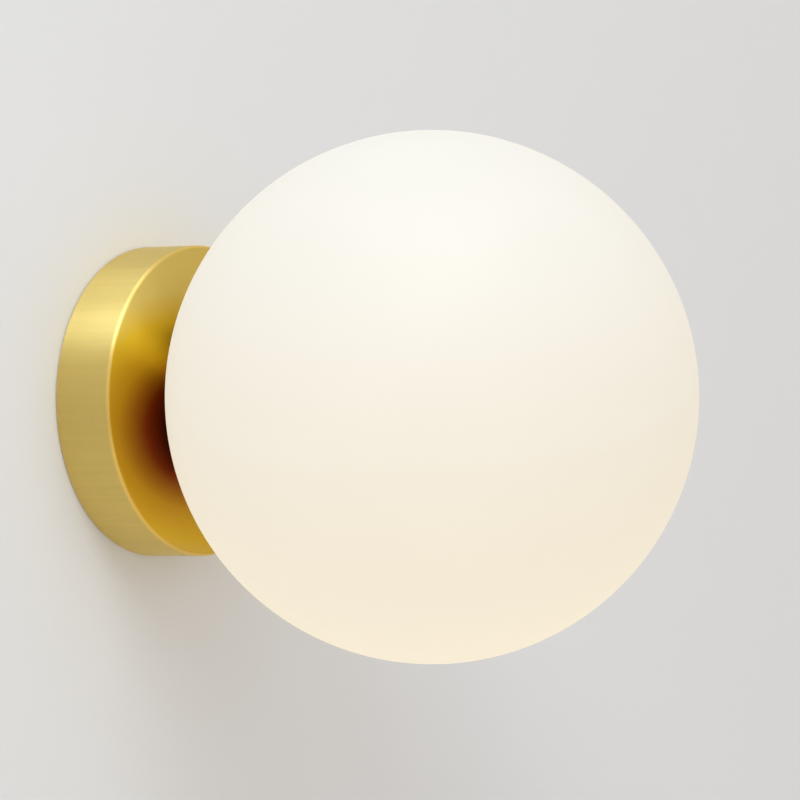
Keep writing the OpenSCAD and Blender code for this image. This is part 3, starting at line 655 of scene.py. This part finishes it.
# %% [markdown]
# ### The painted highlight between them
#
# The small round edge between side and face gets a painted highlight: a pale line where such an
# edge catches the light. Its place is told by the distance from the wall. The three colours are
# then laid over one another, side with its painted bands, edge with its painted highlight and face
# with its painted shade, and take the place of the plain brass.

# %% Side, edge and face
# Colour of the painted highlight along the rounded edge
painted_rim_highlight = "#FFE08C"
edge_from_wall = {"From Min": -23.6 * mm, "From Max": -24.2 * mm}
face_from_wall = {"From Min": -24.7 * mm, "From Max": -24.95 * mm}

on_edge = add(tree, "MapRange", {"Value": parts["Y"], **edge_from_wall})
on_face = add(tree, "MapRange", {"Value": parts["Y"], **face_from_wall})
skin = add(tree, "Mix", {"Factor": on_edge, "A": side_painted_bands, "B": linear(painted_rim_highlight)},
           data_type="RGBA")
canopy_colour = add(tree, "Mix", {"Factor": on_face, "A": skin, "B": face_painted_shade},
                    data_type="RGBA")
mixed = next(output for output in canopy_colour.outputs if output.enabled)
tree.links.new(mixed, tree.nodes["Principled BSDF"].inputs["Base Color"])
print("nodes in the canopy's brass:", len(tree.nodes))

# %% [markdown]
# ## The canopy
#
# The canopy is a shallow cup of brass sheet, spun over a wooden former on a lathe. That leaves a
# small, even radius at its front edge and the same wall all round. A cylinder could be inset and
# bevelled into it, but turning it from one section gives both skins and all edges at once. The
# section is written as distance from the axis and height over the wall, in millimetres.


# %% The canopy's section
def arc(x, z, radius, start, end, steps=6):
    # Points of a rounded corner, from one angle to another in degrees
    turns = [math.radians(start + (end - start) * i / steps) for i in range(steps + 1)]
    return [(x + radius * math.cos(turn), z + radius * math.sin(turn)) for turn in turns]


canopy_r = 60
canopy_h = 25
sheet = 1.2
front_edge = 1.5
rear_edge = 0.3
nipple_hole_r = 5.2

inner_r = canopy_r - sheet
inner_h = canopy_h - sheet
inner_edge = front_edge - sheet
canopy_section = [
    *arc(canopy_r - rear_edge, rear_edge, rear_edge, -90, 0, 3),
    *arc(canopy_r - front_edge, canopy_h - front_edge, front_edge, 0, 90, 12),
    (nipple_hole_r, canopy_h),
    (nipple_hole_r, inner_h),
    *arc(inner_r - inner_edge, inner_h - inner_edge, inner_edge, 90, 0, 4),
    (inner_r, 0)]
print("points in the canopy's section:", len(canopy_section))

# %% [markdown]
# ### Drawing a section
#
# A section could be written straight into a mesh, but here it is drawn as by hand: a small plane
# is merged to one vertex, and the vertex is extruded from point to point. Operators act on all
# that is selected, so a piece is always selected alone first.


# %% Draw the section
def select_only(*pieces):
    bpy.ops.object.select_all(action="DESELECT")
    for piece in pieces:
        piece.select_set(True)
    bpy.context.view_layer.objects.active = pieces[0]


def edit(piece):
    select_only(piece)
    bpy.ops.object.mode_set(mode="EDIT")
    bpy.ops.mesh.select_all(action="SELECT")


def leave_edit():
    bpy.ops.object.mode_set(mode="OBJECT")


def drawn(name, outline, closed=True):
    bpy.ops.object.select_all(action="DESELECT")
    bpy.ops.mesh.primitive_plane_add(size=mm)
    piece = bpy.context.object
    piece.name = name
    points = [Vector((x * mm, 0, z * mm)) for x, z in outline]
    points += points[:1] if closed else []
    edit(piece)
    bpy.ops.mesh.merge(type="CENTER")
    bpy.ops.transform.translate(value=points[0])
    for before, after in zip(points, points[1:]):
        bpy.ops.mesh.extrude_region_move(TRANSFORM_OT_translate={"value": after - before})
    bpy.ops.mesh.select_all(action="SELECT")
    bpy.ops.mesh.remove_doubles(threshold=1e-7)
    leave_edit()
    return piece


canopy = drawn("canopy", canopy_section)
print("edges in the drawn section:", len(canopy.data.edges))

# %% [markdown]
# ### Spinning it
#
# Spin takes the section round z, as a lathe would, and leaves a double seam where it ends. The
# doubles are merged first, and only then are the normals made to point outwards. Corners sharper
# than 32 degrees stay crisp, and all others are shaded smooth.


# %% Spin the section
def smooth(piece, angle=32):
    select_only(piece)
    bpy.ops.object.shade_smooth_by_angle(angle=math.radians(angle))
    return piece


def spun(piece, segments):
    edit(piece)
    bpy.ops.mesh.spin(steps=segments, angle=math.tau, center=(0, 0, 0), axis=(0, 0, 1))
    bpy.ops.mesh.select_all(action="SELECT")
    bpy.ops.mesh.remove_doubles(threshold=1e-6)
    bpy.ops.mesh.normals_make_consistent(inside=False)
    leave_edit()
    return smooth(piece)


spun(canopy, segments=240)
print("faces in the spun canopy:", len(canopy.data.polygons))

# %% [markdown]
# ### Hanging it
#
# Every piece is made as it would lie on the lathe's face plate, with x to the right, y up and z
# away from the wall, and is then hung on the wall as a whole. Its place goes into the mesh, and
# the object itself stays at the origin, as the constructed pieces do, so that a finish lies the
# same way on all of them.

# %% Hang the canopy
hung = Matrix.Rotation(math.radians(90), 4, "X")


def put(piece, matrix):
    piece.matrix_world = matrix @ piece.matrix_world
    select_only(piece)
    bpy.ops.object.transform_apply(location=True, rotation=True, scale=True)
    return piece


put(canopy, hung)
print("the canopy stands out, mm:", round(canopy.dimensions.y / mm, 2))

# %% [markdown]
# ### Holes for its screws
#
# Two countersunk holes, above and below, take the screws that hold the canopy on its bracket. A
# real one is drilled and then countersunk with a cone of 90 degrees. Here one cutter with the
# shape of both is turned, laid so that it points straight out from the lamp's axis, and taken
# away with a Boolean modifier. A section that starts and ends on the axis is drawn open, because
# the spin closes it.


# %% The cutter's section
def turned(name, section, segments=96):
    solid_bar = section[0][0] == 0 and section[-1][0] == 0
    return spun(drawn(name, section, closed=not solid_bar), segments)


drill_r = 2.1
drill_depth = 3
cone_r = 3.45
cone_depth = 1.35
proud = 0.45

countersink = [(0, -drill_depth), (drill_r, -drill_depth), (drill_r, -cone_depth), (cone_r, 0),
               (cone_r + proud, proud), (0, proud)]
print("points in the cutter's section:", len(countersink))


# %% Cut the holes
def moved(x, y, z):
    return Matrix.Translation((x * mm, y * mm, z * mm))


def pointing_out(turn, start, from_wall):
    return (hung @ Matrix.Rotation(math.radians(turn), 4, "Z") @ moved(start, 0, from_wall)
            @ Matrix.Rotation(math.radians(90), 4, "Y"))


def apply_modifier(piece, kind, **settings):
    modifier = piece.modifiers.new(kind.lower(), kind)
    for name, value in settings.items():
        setattr(modifier, name, value)
    select_only(piece)
    bpy.ops.object.modifier_apply(modifier=modifier.name)


def cut(piece, *cutters):
    for cutter in cutters:
        apply_modifier(piece, "BOOLEAN", object=cutter, operation="DIFFERENCE", solver="EXACT")
        bpy.data.objects.remove(cutter, do_unlink=True)
    return piece


side_screw_at = 12.5
for turn in (90, 270):
    drill = turned("hole", countersink, segments=48)
    cut(canopy, put(drill, pointing_out(turn, canopy_r, side_screw_at)))
smooth(canopy)
print("faces with the holes:", len(canopy.data.polygons))

# %% [markdown]
# ### The made piece stands for the constructed one
#
# The new canopy takes the place of the constructed one, moves with the same body and has the same
# finish. The same is done with every piece below.


# %% The canopy takes its place
def stand_for(piece, *nodes):
    piece.name = nodes[0] + "_made"
    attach(piece, body_of[nodes[0]])
    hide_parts(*nodes)
    print(piece.name, "faces:", len(piece.data.polygons))


stand_for(canopy, "canopy")

# %% [markdown]
# ## The glass globe
#
# The globe is mouth-blown in three layers, clear over white over clear, and then etched so that
# it looks matt. Its neck is short, and the fire has rounded its lip. A sphere with Solidify would
# do for the ball, but neck and lip come out cleaner when both skins are turned from one section.
# The glass is seen from the edge at the neck, so its thickness matters there.

# %% The globe's section
globe_r = 100
glass = 3
globe_at = 132
neck_r = 20
neck_from = 28
fillet = 1

inside_r = globe_r - glass
bore_r = neck_r - glass
lip = glass / 2
fillet_at = globe_at - math.sqrt((globe_r + fillet) ** 2 - (neck_r + fillet) ** 2)
fillet_end = 180 - math.degrees(math.atan2(globe_at - fillet_at, neck_r + fillet))
skin_start = fillet_end - 180
inside_start = -math.degrees(math.acos(bore_r / inside_r))
globe_section = [
    *arc(0, globe_at, inside_r, 90, inside_start, 90)[:-1],
    (bore_r, globe_at - math.sqrt(inside_r ** 2 - bore_r ** 2)),
    *arc(neck_r - lip, neck_from + lip, lip, 180, 360, 16),
    *arc(neck_r + fillet, fillet_at, fillet, 180, fillet_end, 6),
    *arc(0, globe_at, globe_r, skin_start, 90, 90)[1:]]
print("the neck meets the ball from the wall at, mm:", round(fillet_at, 2))

# %% Globe
globe = turned("globe", globe_section, segments=192)
put(globe, hung)
stand_for(globe, "globe")

# %% [markdown]
# ## The gallery
#
# The gallery is the ring that takes the globe's neck. It is turned from bar, as a drawn cup would
# be too thin for the threads in its rim, and the turner breaks every edge with a file. So it is
# turned here as well, with the rounded edges in the section.

# %% Gallery
gallery_r = 25
gallery_wall = 2
gallery_floor = 1.5
gallery_top = 33.58
rim = 0.5
foot_edge = 0.3
inside_corner = 0.4

gallery_in = gallery_r - gallery_wall
floor_top = canopy_h + gallery_floor
gallery = turned("gallery", [
    (nipple_hole_r, canopy_h),
    *arc(gallery_r - foot_edge, canopy_h + foot_edge, foot_edge, -90, 0, 3),
    *arc(gallery_r - rim, gallery_top - rim, rim, 0, 90, 5),
    *arc(gallery_in + rim, gallery_top - rim, rim, 90, 180, 5),
    *arc(gallery_in - inside_corner, floor_top + inside_corner, inside_corner, 0, -90, 3),
    (nipple_hole_r, floor_top)], segments=144)
put(gallery, hung)
print("the gallery stands out, mm:", round(gallery.dimensions.y / mm, 2))

# %% [markdown]
# Three holes through its rim take the thumbscrews. A plain rod cuts them, a little longer than
# the rim is thick on both sides, so that no skin of metal is left standing in a hole.


# %% Holes in the rim
def rod(radius, low, high, edge=0.0, segments=48):
    return turned("rod", [(0, low), (radius - edge, low), (radius, low + edge),
                          (radius, high - edge), (radius - edge, high), (0, high)], segments)


thumb_at = 30.1
thumb_hole_r = 1.56
past_rim = 3

for turn in (0, 120, 240):
    drill = rod(thumb_hole_r, gallery_in - past_rim, gallery_r + past_rim)
    cut(gallery, put(drill, pointing_out(turn, 0, thumb_at)))
smooth(gallery)
stand_for(gallery, "gallery")

# %% [markdown]
# ## The neck seat
#
# The globe's neck stands on a silicone ring, so that no glass rests on metal. A torus would be
# too round for it: the moulded ring is flat with four small rounded corners, and that section is
# turned.

# %% Neck seat
seat_out = neck_r
seat_in = 16.6
seat_top = neck_from
seat_round = 0.4

neck_seat = turned("neck_seat", [
    *arc(seat_in + seat_round, floor_top + seat_round, seat_round, 180, 270, 3),
    *arc(seat_out - seat_round, floor_top + seat_round, seat_round, 270, 360, 3),
    *arc(seat_out - seat_round, seat_top - seat_round, seat_round, 0, 90, 3),
    *arc(seat_in + seat_round, seat_top - seat_round, seat_round, 90, 180, 3)], segments=96)
put(neck_seat, hung)
stand_for(neck_seat, "neck_seat")

# %% [markdown]
# ## Thumbscrews: the knurled head
#
# Each thumbscrew is M3 with a knurled head. A knurling wheel presses rows of small pyramids into
# it, which fingers grip and which glitter. A bump in the finish would leave the outline smooth.
# So the side is turned in rows and columns of small faces, and each is poked out to a point.

# %% Knurled head
head_from = 26
head_to = 31
head_r = 3.5
head_edge = 0.4
plain_rim = 0.6
knurl_depth = 0.22
knurl_columns = 44
knurl_rows = 7
nearly_upright = 0.1

side_r = head_r - knurl_depth
first_row = head_from + plain_rim
last_row = head_to - plain_rim
heights = [first_row + (last_row - first_row) * row / knurl_rows for row in range(knurl_rows + 1)]
thumb = turned("head", [(0, head_from), (side_r - head_edge, head_from),
                        *[(side_r, z) for z in heights],
                        (side_r - head_edge, head_to), (0, head_to)], segments=knurl_columns)
select_only(thumb)
bpy.ops.object.mode_set(mode="EDIT")
bpy.ops.mesh.select_mode(type="FACE")
bpy.ops.mesh.select_all(action="DESELECT")
leave_edit()
for face in thumb.data.polygons:
    face.select = abs(face.normal.z) < nearly_upright
bpy.ops.object.mode_set(mode="EDIT")
bpy.ops.mesh.poke(offset=knurl_depth * mm)
bpy.ops.mesh.select_mode(type="VERT")
leave_edit()
print("faces in the knurled head:", len(thumb.data.polygons))

# %% [markdown]
# ### The thread
#
# A screw's thread is one ridge that winds round the shank. A stack of rings would pass from afar,
# but the end of a real thread shows. The Screw modifier winds the ridge's outline round z, and
# the two ends that it leaves open are filled. The ridge's foot is sunk a little into the shank,
# so that no gap shows between the two.


# %% Shank and thread
def thread(crest, root, pitch, low, turns, steps=24):
    sunk = 0.03
    rise_to, crest_to, fall_to = 0.4 * pitch, 0.55 * pitch, 0.95 * pitch
    ridge = [(root - sunk, low), (crest, low + rise_to), (crest, low + crest_to),
             (root - sunk, low + fall_to)]
    piece = drawn("thread", ridge)
    apply_modifier(piece, "SCREW", axis="Z", angle=math.tau, screw_offset=pitch * mm,
                   iterations=turns, steps=steps, render_steps=steps)
    edit(piece)
    bpy.ops.mesh.remove_doubles(threshold=1e-6)
    bpy.ops.mesh.fill_holes(sides=0)
    bpy.ops.mesh.select_all(action="SELECT")
    bpy.ops.mesh.normals_make_consistent(inside=False)
    leave_edit()
    return smooth(piece, angle=25)


m3_r = 1.5
m3_root = 1.23
m3_pitch = 0.5
shank_from = 20.9
into_head = 0.1
run_in = 0.1

shank = rod(m3_root, shank_from, head_from + into_head)
ridge = thread(m3_r, m3_root, m3_pitch, shank_from + run_in, turns=10)
print("faces in the thread:", len(ridge.data.polygons))


# %% Thumbscrew
def join(*pieces):
    select_only(*pieces)
    bpy.ops.object.join()
    return pieces[0]


thumb = join(thumb, shank, ridge)
smooth(thumb, angle=20)
print("faces in the thumbscrew:", len(thumb.data.polygons))

# %% [markdown]
# ### Soft tips, and three of each
#
# A silicone tip sits on each screw's end, so that no metal presses on the glass. It is a small
# cup, rounded where it meets the neck. One screw and one tip are made, and copied three times
# round the axis, a third of the circle apart. Each copy has its own mesh, because its place goes
# into it.


# %% Tips and copies
def copied(piece, matrix):
    twin = piece.copy()
    twin.data = piece.data.copy()
    bpy.context.scene.collection.objects.link(twin)
    return put(twin, matrix)


tip_from = 20.2
tip_to = 21.7
tip_r = 1.9
tip_round = 0.4
tip_chamfer = 0.2
pocket_r = 1.56
pocket_floor = shank_from - 0.04

tip = turned("tip", [
    (0, tip_from), *arc(tip_r - tip_round, tip_from + tip_round, tip_round, -90, 0, 3),
    (tip_r, tip_to - tip_chamfer), (tip_r - tip_chamfer, tip_to), (pocket_r, tip_to),
    (pocket_r, pocket_floor), (0, pocket_floor)], segments=48)
for number, turn in ((1, 0), (2, 120), (3, 240)):
    place = pointing_out(turn, 0, thumb_at)
    stand_for(copied(thumb, place), f"thumbscrew_{number}")
    stand_for(copied(tip, place), f"screw_tip_{number}")
bpy.data.objects.remove(thumb, do_unlink=True)
bpy.data.objects.remove(tip, do_unlink=True)

# %% [markdown]
# ## Canopy screws
#
# Two M4 screws with countersunk heads sit flush in the canopy, one above and one below. Their
# slots run straight out from the wall. The head is turned and a bar is cut out of it for the
# slot. The thread is real, because the screw's end is seen from behind, where it comes through
# the bracket's ear.


# %% Head of a canopy screw
def bar(width, depth, low, high):
    bpy.ops.object.select_all(action="DESELECT")
    bpy.ops.mesh.primitive_cube_add(size=mm)
    size = Matrix.Diagonal((width, depth, high - low, 1))
    return put(bpy.context.object, moved(0, 0, (low + high) / 2) @ size)


slot_w = 0.9
slot_h = 0.8
slot_l = 8
above_head = 1
m4_r = 2
m4_head_r = 3.2
m4_head_edge = 0.15
under_head_r = 1.9
under_head = 0.8
head_top = 59.85
head_foot = 58.65

screw_head = turned("head", [
    (0, head_foot - under_head), (under_head_r, head_foot - under_head), (m4_r, head_foot),
    (m4_head_r, head_top - m4_head_edge), (m4_head_r - m4_head_edge, head_top), (0, head_top)],
    segments=64)
cut(screw_head, bar(slot_l, slot_w, head_top - slot_h, head_top + above_head))
print("faces in the slotted head:", len(screw_head.data.polygons))

# %% Canopy screws
m4_root = 1.65
m4_pitch = 0.7
shank_end = 53.85
end_chamfer = 0.25
shank_overlap = 0.1
m4_run_in = 0.15

canopy_screw = join(
    screw_head,
    rod(m4_root, shank_end, head_foot - under_head + shank_overlap, end_chamfer),
    thread(m4_r, m4_root, m4_pitch, shank_end + m4_run_in, turns=5))
smooth(canopy_screw, angle=25)
lower_screw = copied(canopy_screw, pointing_out(270, 0, side_screw_at))
put(canopy_screw, pointing_out(90, 0, side_screw_at))
stand_for(join(canopy_screw, lower_screw), "canopy_screws")

# %% [markdown]
# ## The threaded nipple
#
# A hollow M10 nipple holds canopy, gallery and lampholder bracket together, and the leads run
# through it. It is threaded from end to end, so its core is a plain turned tube, chamfered inside
# at both ends to spare the leads, and the ridge is wound over all of it.

# %% Nipple
nipple_from = 13.2
nipple_to = 31.5
nipple_r = 5
nipple_root = 4.42
nipple_bore = 3.5
bore_chamfer = 0.4
nipple_pitch = 1
nipple_run_in = 0.15

core = turned("core", [
    (nipple_bore, nipple_from + bore_chamfer), (nipple_bore + bore_chamfer, nipple_from),
    (nipple_root, nipple_from), (nipple_root, nipple_to),
    (nipple_bore + bore_chamfer, nipple_to), (nipple_bore, nipple_to - bore_chamfer)],
    segments=72)
ridge = thread(nipple_r, nipple_root, nipple_pitch, nipple_from + nipple_run_in, turns=17,
               steps=48)
nipple = put(join(core, ridge), hung)
stand_for(nipple, "nipple")

# %% [markdown]
# ## Its two nuts
#
# A nut is sawn from a six-sided bar, and its corners are chamfered on the lathe before its thread
# is cut. A bevel on all edges would break the flats as well, so it is made here in the same order
# as the real one: a six-sided cylinder, a coned cut on both faces, and the bore.


# %% Nuts
def nut(name, flats, low, high):
    cone_slope = 0.55
    cone_start = flats / 2 - inside_flats
    corner = flats / 2 / math.cos(math.radians(30))
    far = corner + beyond
    bpy.ops.object.select_all(action="DESELECT")
    bpy.ops.mesh.primitive_cylinder_add(vertices=6, radius=corner * mm, depth=(high - low) * mm)
    piece = put(bpy.context.object, moved(0, 0, (low + high) / 2))
    for face, into in ((high, -1), (low, 1)):
        corner_cone = [(cone_start, face), (far, face + into * (far - cone_start) * cone_slope),
                       (far, face - into), (cone_start, face - into)]
        cut(piece, turned("cone", corner_cone, segments=96))
    cut(piece, turned("hole", [
        (0, low - clear), (entry_r, low - clear), (entry_r, low), (nut_hole, low + entry),
        (nut_hole, high - entry), (entry_r, high), (entry_r, high + clear), (0, high + clear)],
        segments=72))
    put(piece, hung)
    smooth(piece, angle=20)
    stand_for(piece, name)


nut_flats = 14
inside_flats = 0.1
beyond = 3
nut_hole = 5.06
entry = 0.6
entry_r = nut_hole + entry
clear = 1
nut("nipple_nut", nut_flats, 18.2, 22.2)
nut("lock_nut", nut_flats, 28, 30.5)

# %% [markdown]
# ## Sheet metal and moulded parts
#
# Stamped and moulded parts have no sharp edges. Their constructed shapes are right, so modelling
# them again would gain nothing, and these pieces are softened copies. A constructed mesh is loose
# triangles. They are merged, flat faces are made whole, and every sharp edge gets the small
# radius of its making: a tiny one on steel, and a rounder one on plastic and on the ceramic,
# where the glaze pulls back from an edge.


# %% Softened copies
def softened_copy(node, width):
    same_place = 2e-6
    flat_within = math.radians(0.5)
    sharp_from = math.radians(40)
    piece = bpy.data.objects.new(node, cad[node].data.copy())
    bpy.context.scene.collection.objects.link(piece)
    piece.data.materials.clear()
    edit(piece)
    bpy.ops.mesh.remove_doubles(threshold=same_place)
    bpy.ops.mesh.dissolve_limited(angle_limit=flat_within)
    leave_edit()
    apply_modifier(piece, "BEVEL", width=width * mm, segments=2, limit_method="ANGLE",
                   angle_limit=sharp_from)
    return smooth(piece)


edge_of = {
    "wall_bracket": 0.25, "toothed_washer": 0.1, "canopy_lug": 0.12, "earth_lug": 0.12,
    "holder_bracket": 0.2, "cable_bush": 0.35, "lampholder": 0.6, "terminal_block": 0.45,
    "terminal_tubes": 0.12, "terminal_screws": 0.12, "block_screw": 0.15, "earth_screw": 0.2,
    "earth_washer": 0.12, "holder_screws": 0.15, "holder_contacts": 0.1, "bulb_board": 0.1,
    "bulb_chips": 0.08,
}
for node, width in edge_of.items():
    stand_for(softened_copy(node, width), node)

# %% [markdown]
# ## The capsule lamp
#
# A small LED capsule gives the globe its light. Its moulded base has a stem, a wider collar for
# the fingers and a plug that the cover is pushed over. The cover is a tube of frosted plastic
# with a domed end, which hides the board. Each could be built up from cylinders, but both are
# round, so one section each does it.

# %% Base
base_foot = 56.5
base_shoulder = 59.5
base_top = 63.5
base_neck = 65.5
stem_r = 6.6
stem_edge = 0.4
collar_r = 8
collar_low_edge = 0.5
collar_top_edge = 0.3
plug_r = 6.94

bulb_base = turned("bulb_base", [
    (0, base_foot), *arc(stem_r - stem_edge, base_foot + stem_edge, stem_edge, -90, 0, 3),
    (stem_r, base_shoulder),
    *arc(collar_r - collar_low_edge, base_shoulder + collar_low_edge, collar_low_edge, -90, 0, 3),
    *arc(collar_r - collar_top_edge, base_top - collar_top_edge, collar_top_edge, 0, 90, 3),
    (plug_r, base_top), (plug_r, base_neck), (0, base_neck)], segments=72)
put(bulb_base, hung)
stand_for(bulb_base, "bulb_base")

# %% Cover
dome_from = 98.5
cover_r = 8
cover_in = 7
cover_edge = 0.2

bulb_cover = turned("bulb_cover", [
    *arc(0, dome_from, cover_in, 90, 0, 16), (cover_in, base_top), (cover_r - cover_edge, base_top),
    (cover_r, base_top + cover_edge), *arc(0, dome_from, cover_r, 0, 90, 16)], segments=72)
put(bulb_cover, hung)
stand_for(bulb_cover, "bulb_cover")

# %% [markdown]
# ### Its two pins
#
# Each pin is a hairpin of round wire: it goes down from the base, round the bend in the contact,
# and up again. A path with a round profile is bent as a wire is, and is then made into a mesh.
# Extruding a circle along the bend would twist it.


# %% Pins
def tube(name, route, radius, roundness=4):
    curve = bpy.data.curves.new(name, "CURVE")
    curve.dimensions = "3D"
    line = curve.splines.new("POLY")
    line.points.add(len(route) - 1)
    for point, place in zip(line.points, route):
        point.co = (*(c * mm for c in place), 1)
    curve.bevel_depth = radius * mm
    curve.bevel_resolution = roundness
    curve.use_fill_caps = True
    piece = bpy.data.objects.new(name, curve)
    bpy.context.scene.collection.objects.link(piece)
    select_only(piece)
    bpy.ops.object.convert(target="MESH")
    return smooth(bpy.context.object)


def hairpin(side):
    middle = side * pins_apart / 2
    bend = [(middle + x, 0, bend_at + z) for x, z in arc(0, 0, bend_r, 180, 360, 12)]
    route = [(middle - bend_r, 0, pin_top), *bend, (middle + bend_r, 0, pin_top)]
    return tube("pin", route, wire_r)


pins_apart = 9
wire_r = 0.45
bend_r = 1.05
bend_at = 48.55
pin_top = 59.3
pins = join(hairpin(-1), hairpin(1))
put(pins, hung)
stand_for(pins, "bulb_pins")

# %% [markdown]
# ## Leads
#
# Heat-proof silicone leads run from the lampholder through the nipple to the terminal block, and
# the earth lead joins the bracket to the canopy. Each follows the route that was laid for it,
# through points in millimetres: right, up, and out from the wall. Straight pieces would kink at
# the points and a drawn curve would miss them, so a smooth line is laid that passes through every
# one of them.


# %% A smooth line through points
def laid(points, steps=8):
    # Each piece of the line takes its direction at both ends from the points next to them
    ends = [points[0], *points, points[-1]]
    route = []
    for a, b, c, d in zip(ends, ends[1:], ends[2:], ends[3:]):
        for t in (step / steps for step in range(steps)):
            route.append(tuple(
                (2 * q + (r - p) * t + (2 * p - 5 * q + 4 * r - s) * t ** 2
                 + (3 * q - p - 3 * r + s) * t ** 3) / 2 for p, q, r, s in zip(a, b, c, d)))
    return route + [points[-1]]


live_route = [(4.5, 0, 44), (4.5, 0, 41), (4.5, 0, 39), (1.3, 0, 33), (1.3, 0, 28.5),
              (1.3, 0, 16.2), (1.4, 0.6, 12.2), (4.5, 6, 8), (6, 10, 7), (6, 15.5, 7)]
neutral_route = [(-x, y, z) for x, y, z in live_route]
print("points along a lamp lead:", len(laid(live_route)))


# %% Leads
def canopy_lug_point(out, from_wall):
    # The lug on the canopy points down to the left, at 45 degrees
    side = -out * math.sqrt(0.5)
    return (side, side, from_wall)


earth_route = [(-5.2, -19.2, 4.3), (-10, -19.2, 4.3), (-13.5, -19.2, 4.3), (-20.5, -18.2, 8.3),
               canopy_lug_point(22, 16.7), canopy_lug_point(17.5, 20.7),
               canopy_lug_point(14.5, 20.7), canopy_lug_point(9.7, 20.7)]
lamp_lead_r = 0.95
earth_lead_r = 1.1
for name, route, radius in (("live_lead", live_route, lamp_lead_r),
                            ("neutral_lead", neutral_route, lamp_lead_r),
                            ("earth_lead", earth_route, earth_lead_r)):
    stand_for(put(tube(name, laid(route), radius, 6), hung), name)

# %% [markdown]
# ## Every piece gets its finish
#
# The record names a finish for each piece, and the finishes above carry the same names. Giving
# them out by hand would invite mistakes among so many pieces, so they are given out by name.

# %% Dress the pieces
finishes = (satin_brass, raw_brass, dark_bronze, opal_glass, zinc_steel, tinned_copper, pin_wire,
            glazed_ceramic, bush_plastic, polyamide, lamp_plastic, silicone, brown_silicone,
            blue_silicone, earth_silicone, board, light_chip, frosted_cover)
finish_named = {material.name: material for material in finishes}
for node, slot in slot_of.items():
    piece = bpy.data.objects.get(node + "_made", cad[node])
    piece.data.materials.clear()
    piece.data.materials.append(finish_named[slot])
shown = [node for node in cad if not bpy.data.objects.get(node + "_made")]
print("finishes:", len(finishes), "and pieces shown as constructed:", shown or "none")

# %% [markdown]
# ## Measure
#
# The dressed lamp and the constructed one are both measured, and their boxes are printed: the
# finer pieces should change its size by no more than a hair.

# %% The sizes of both
boxes = {"cad": cad_box, "dressed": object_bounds()}
for name, (low, high) in boxes.items():
    print(name, [round(c, 4) for c in low], [round(c, 4) for c in high])
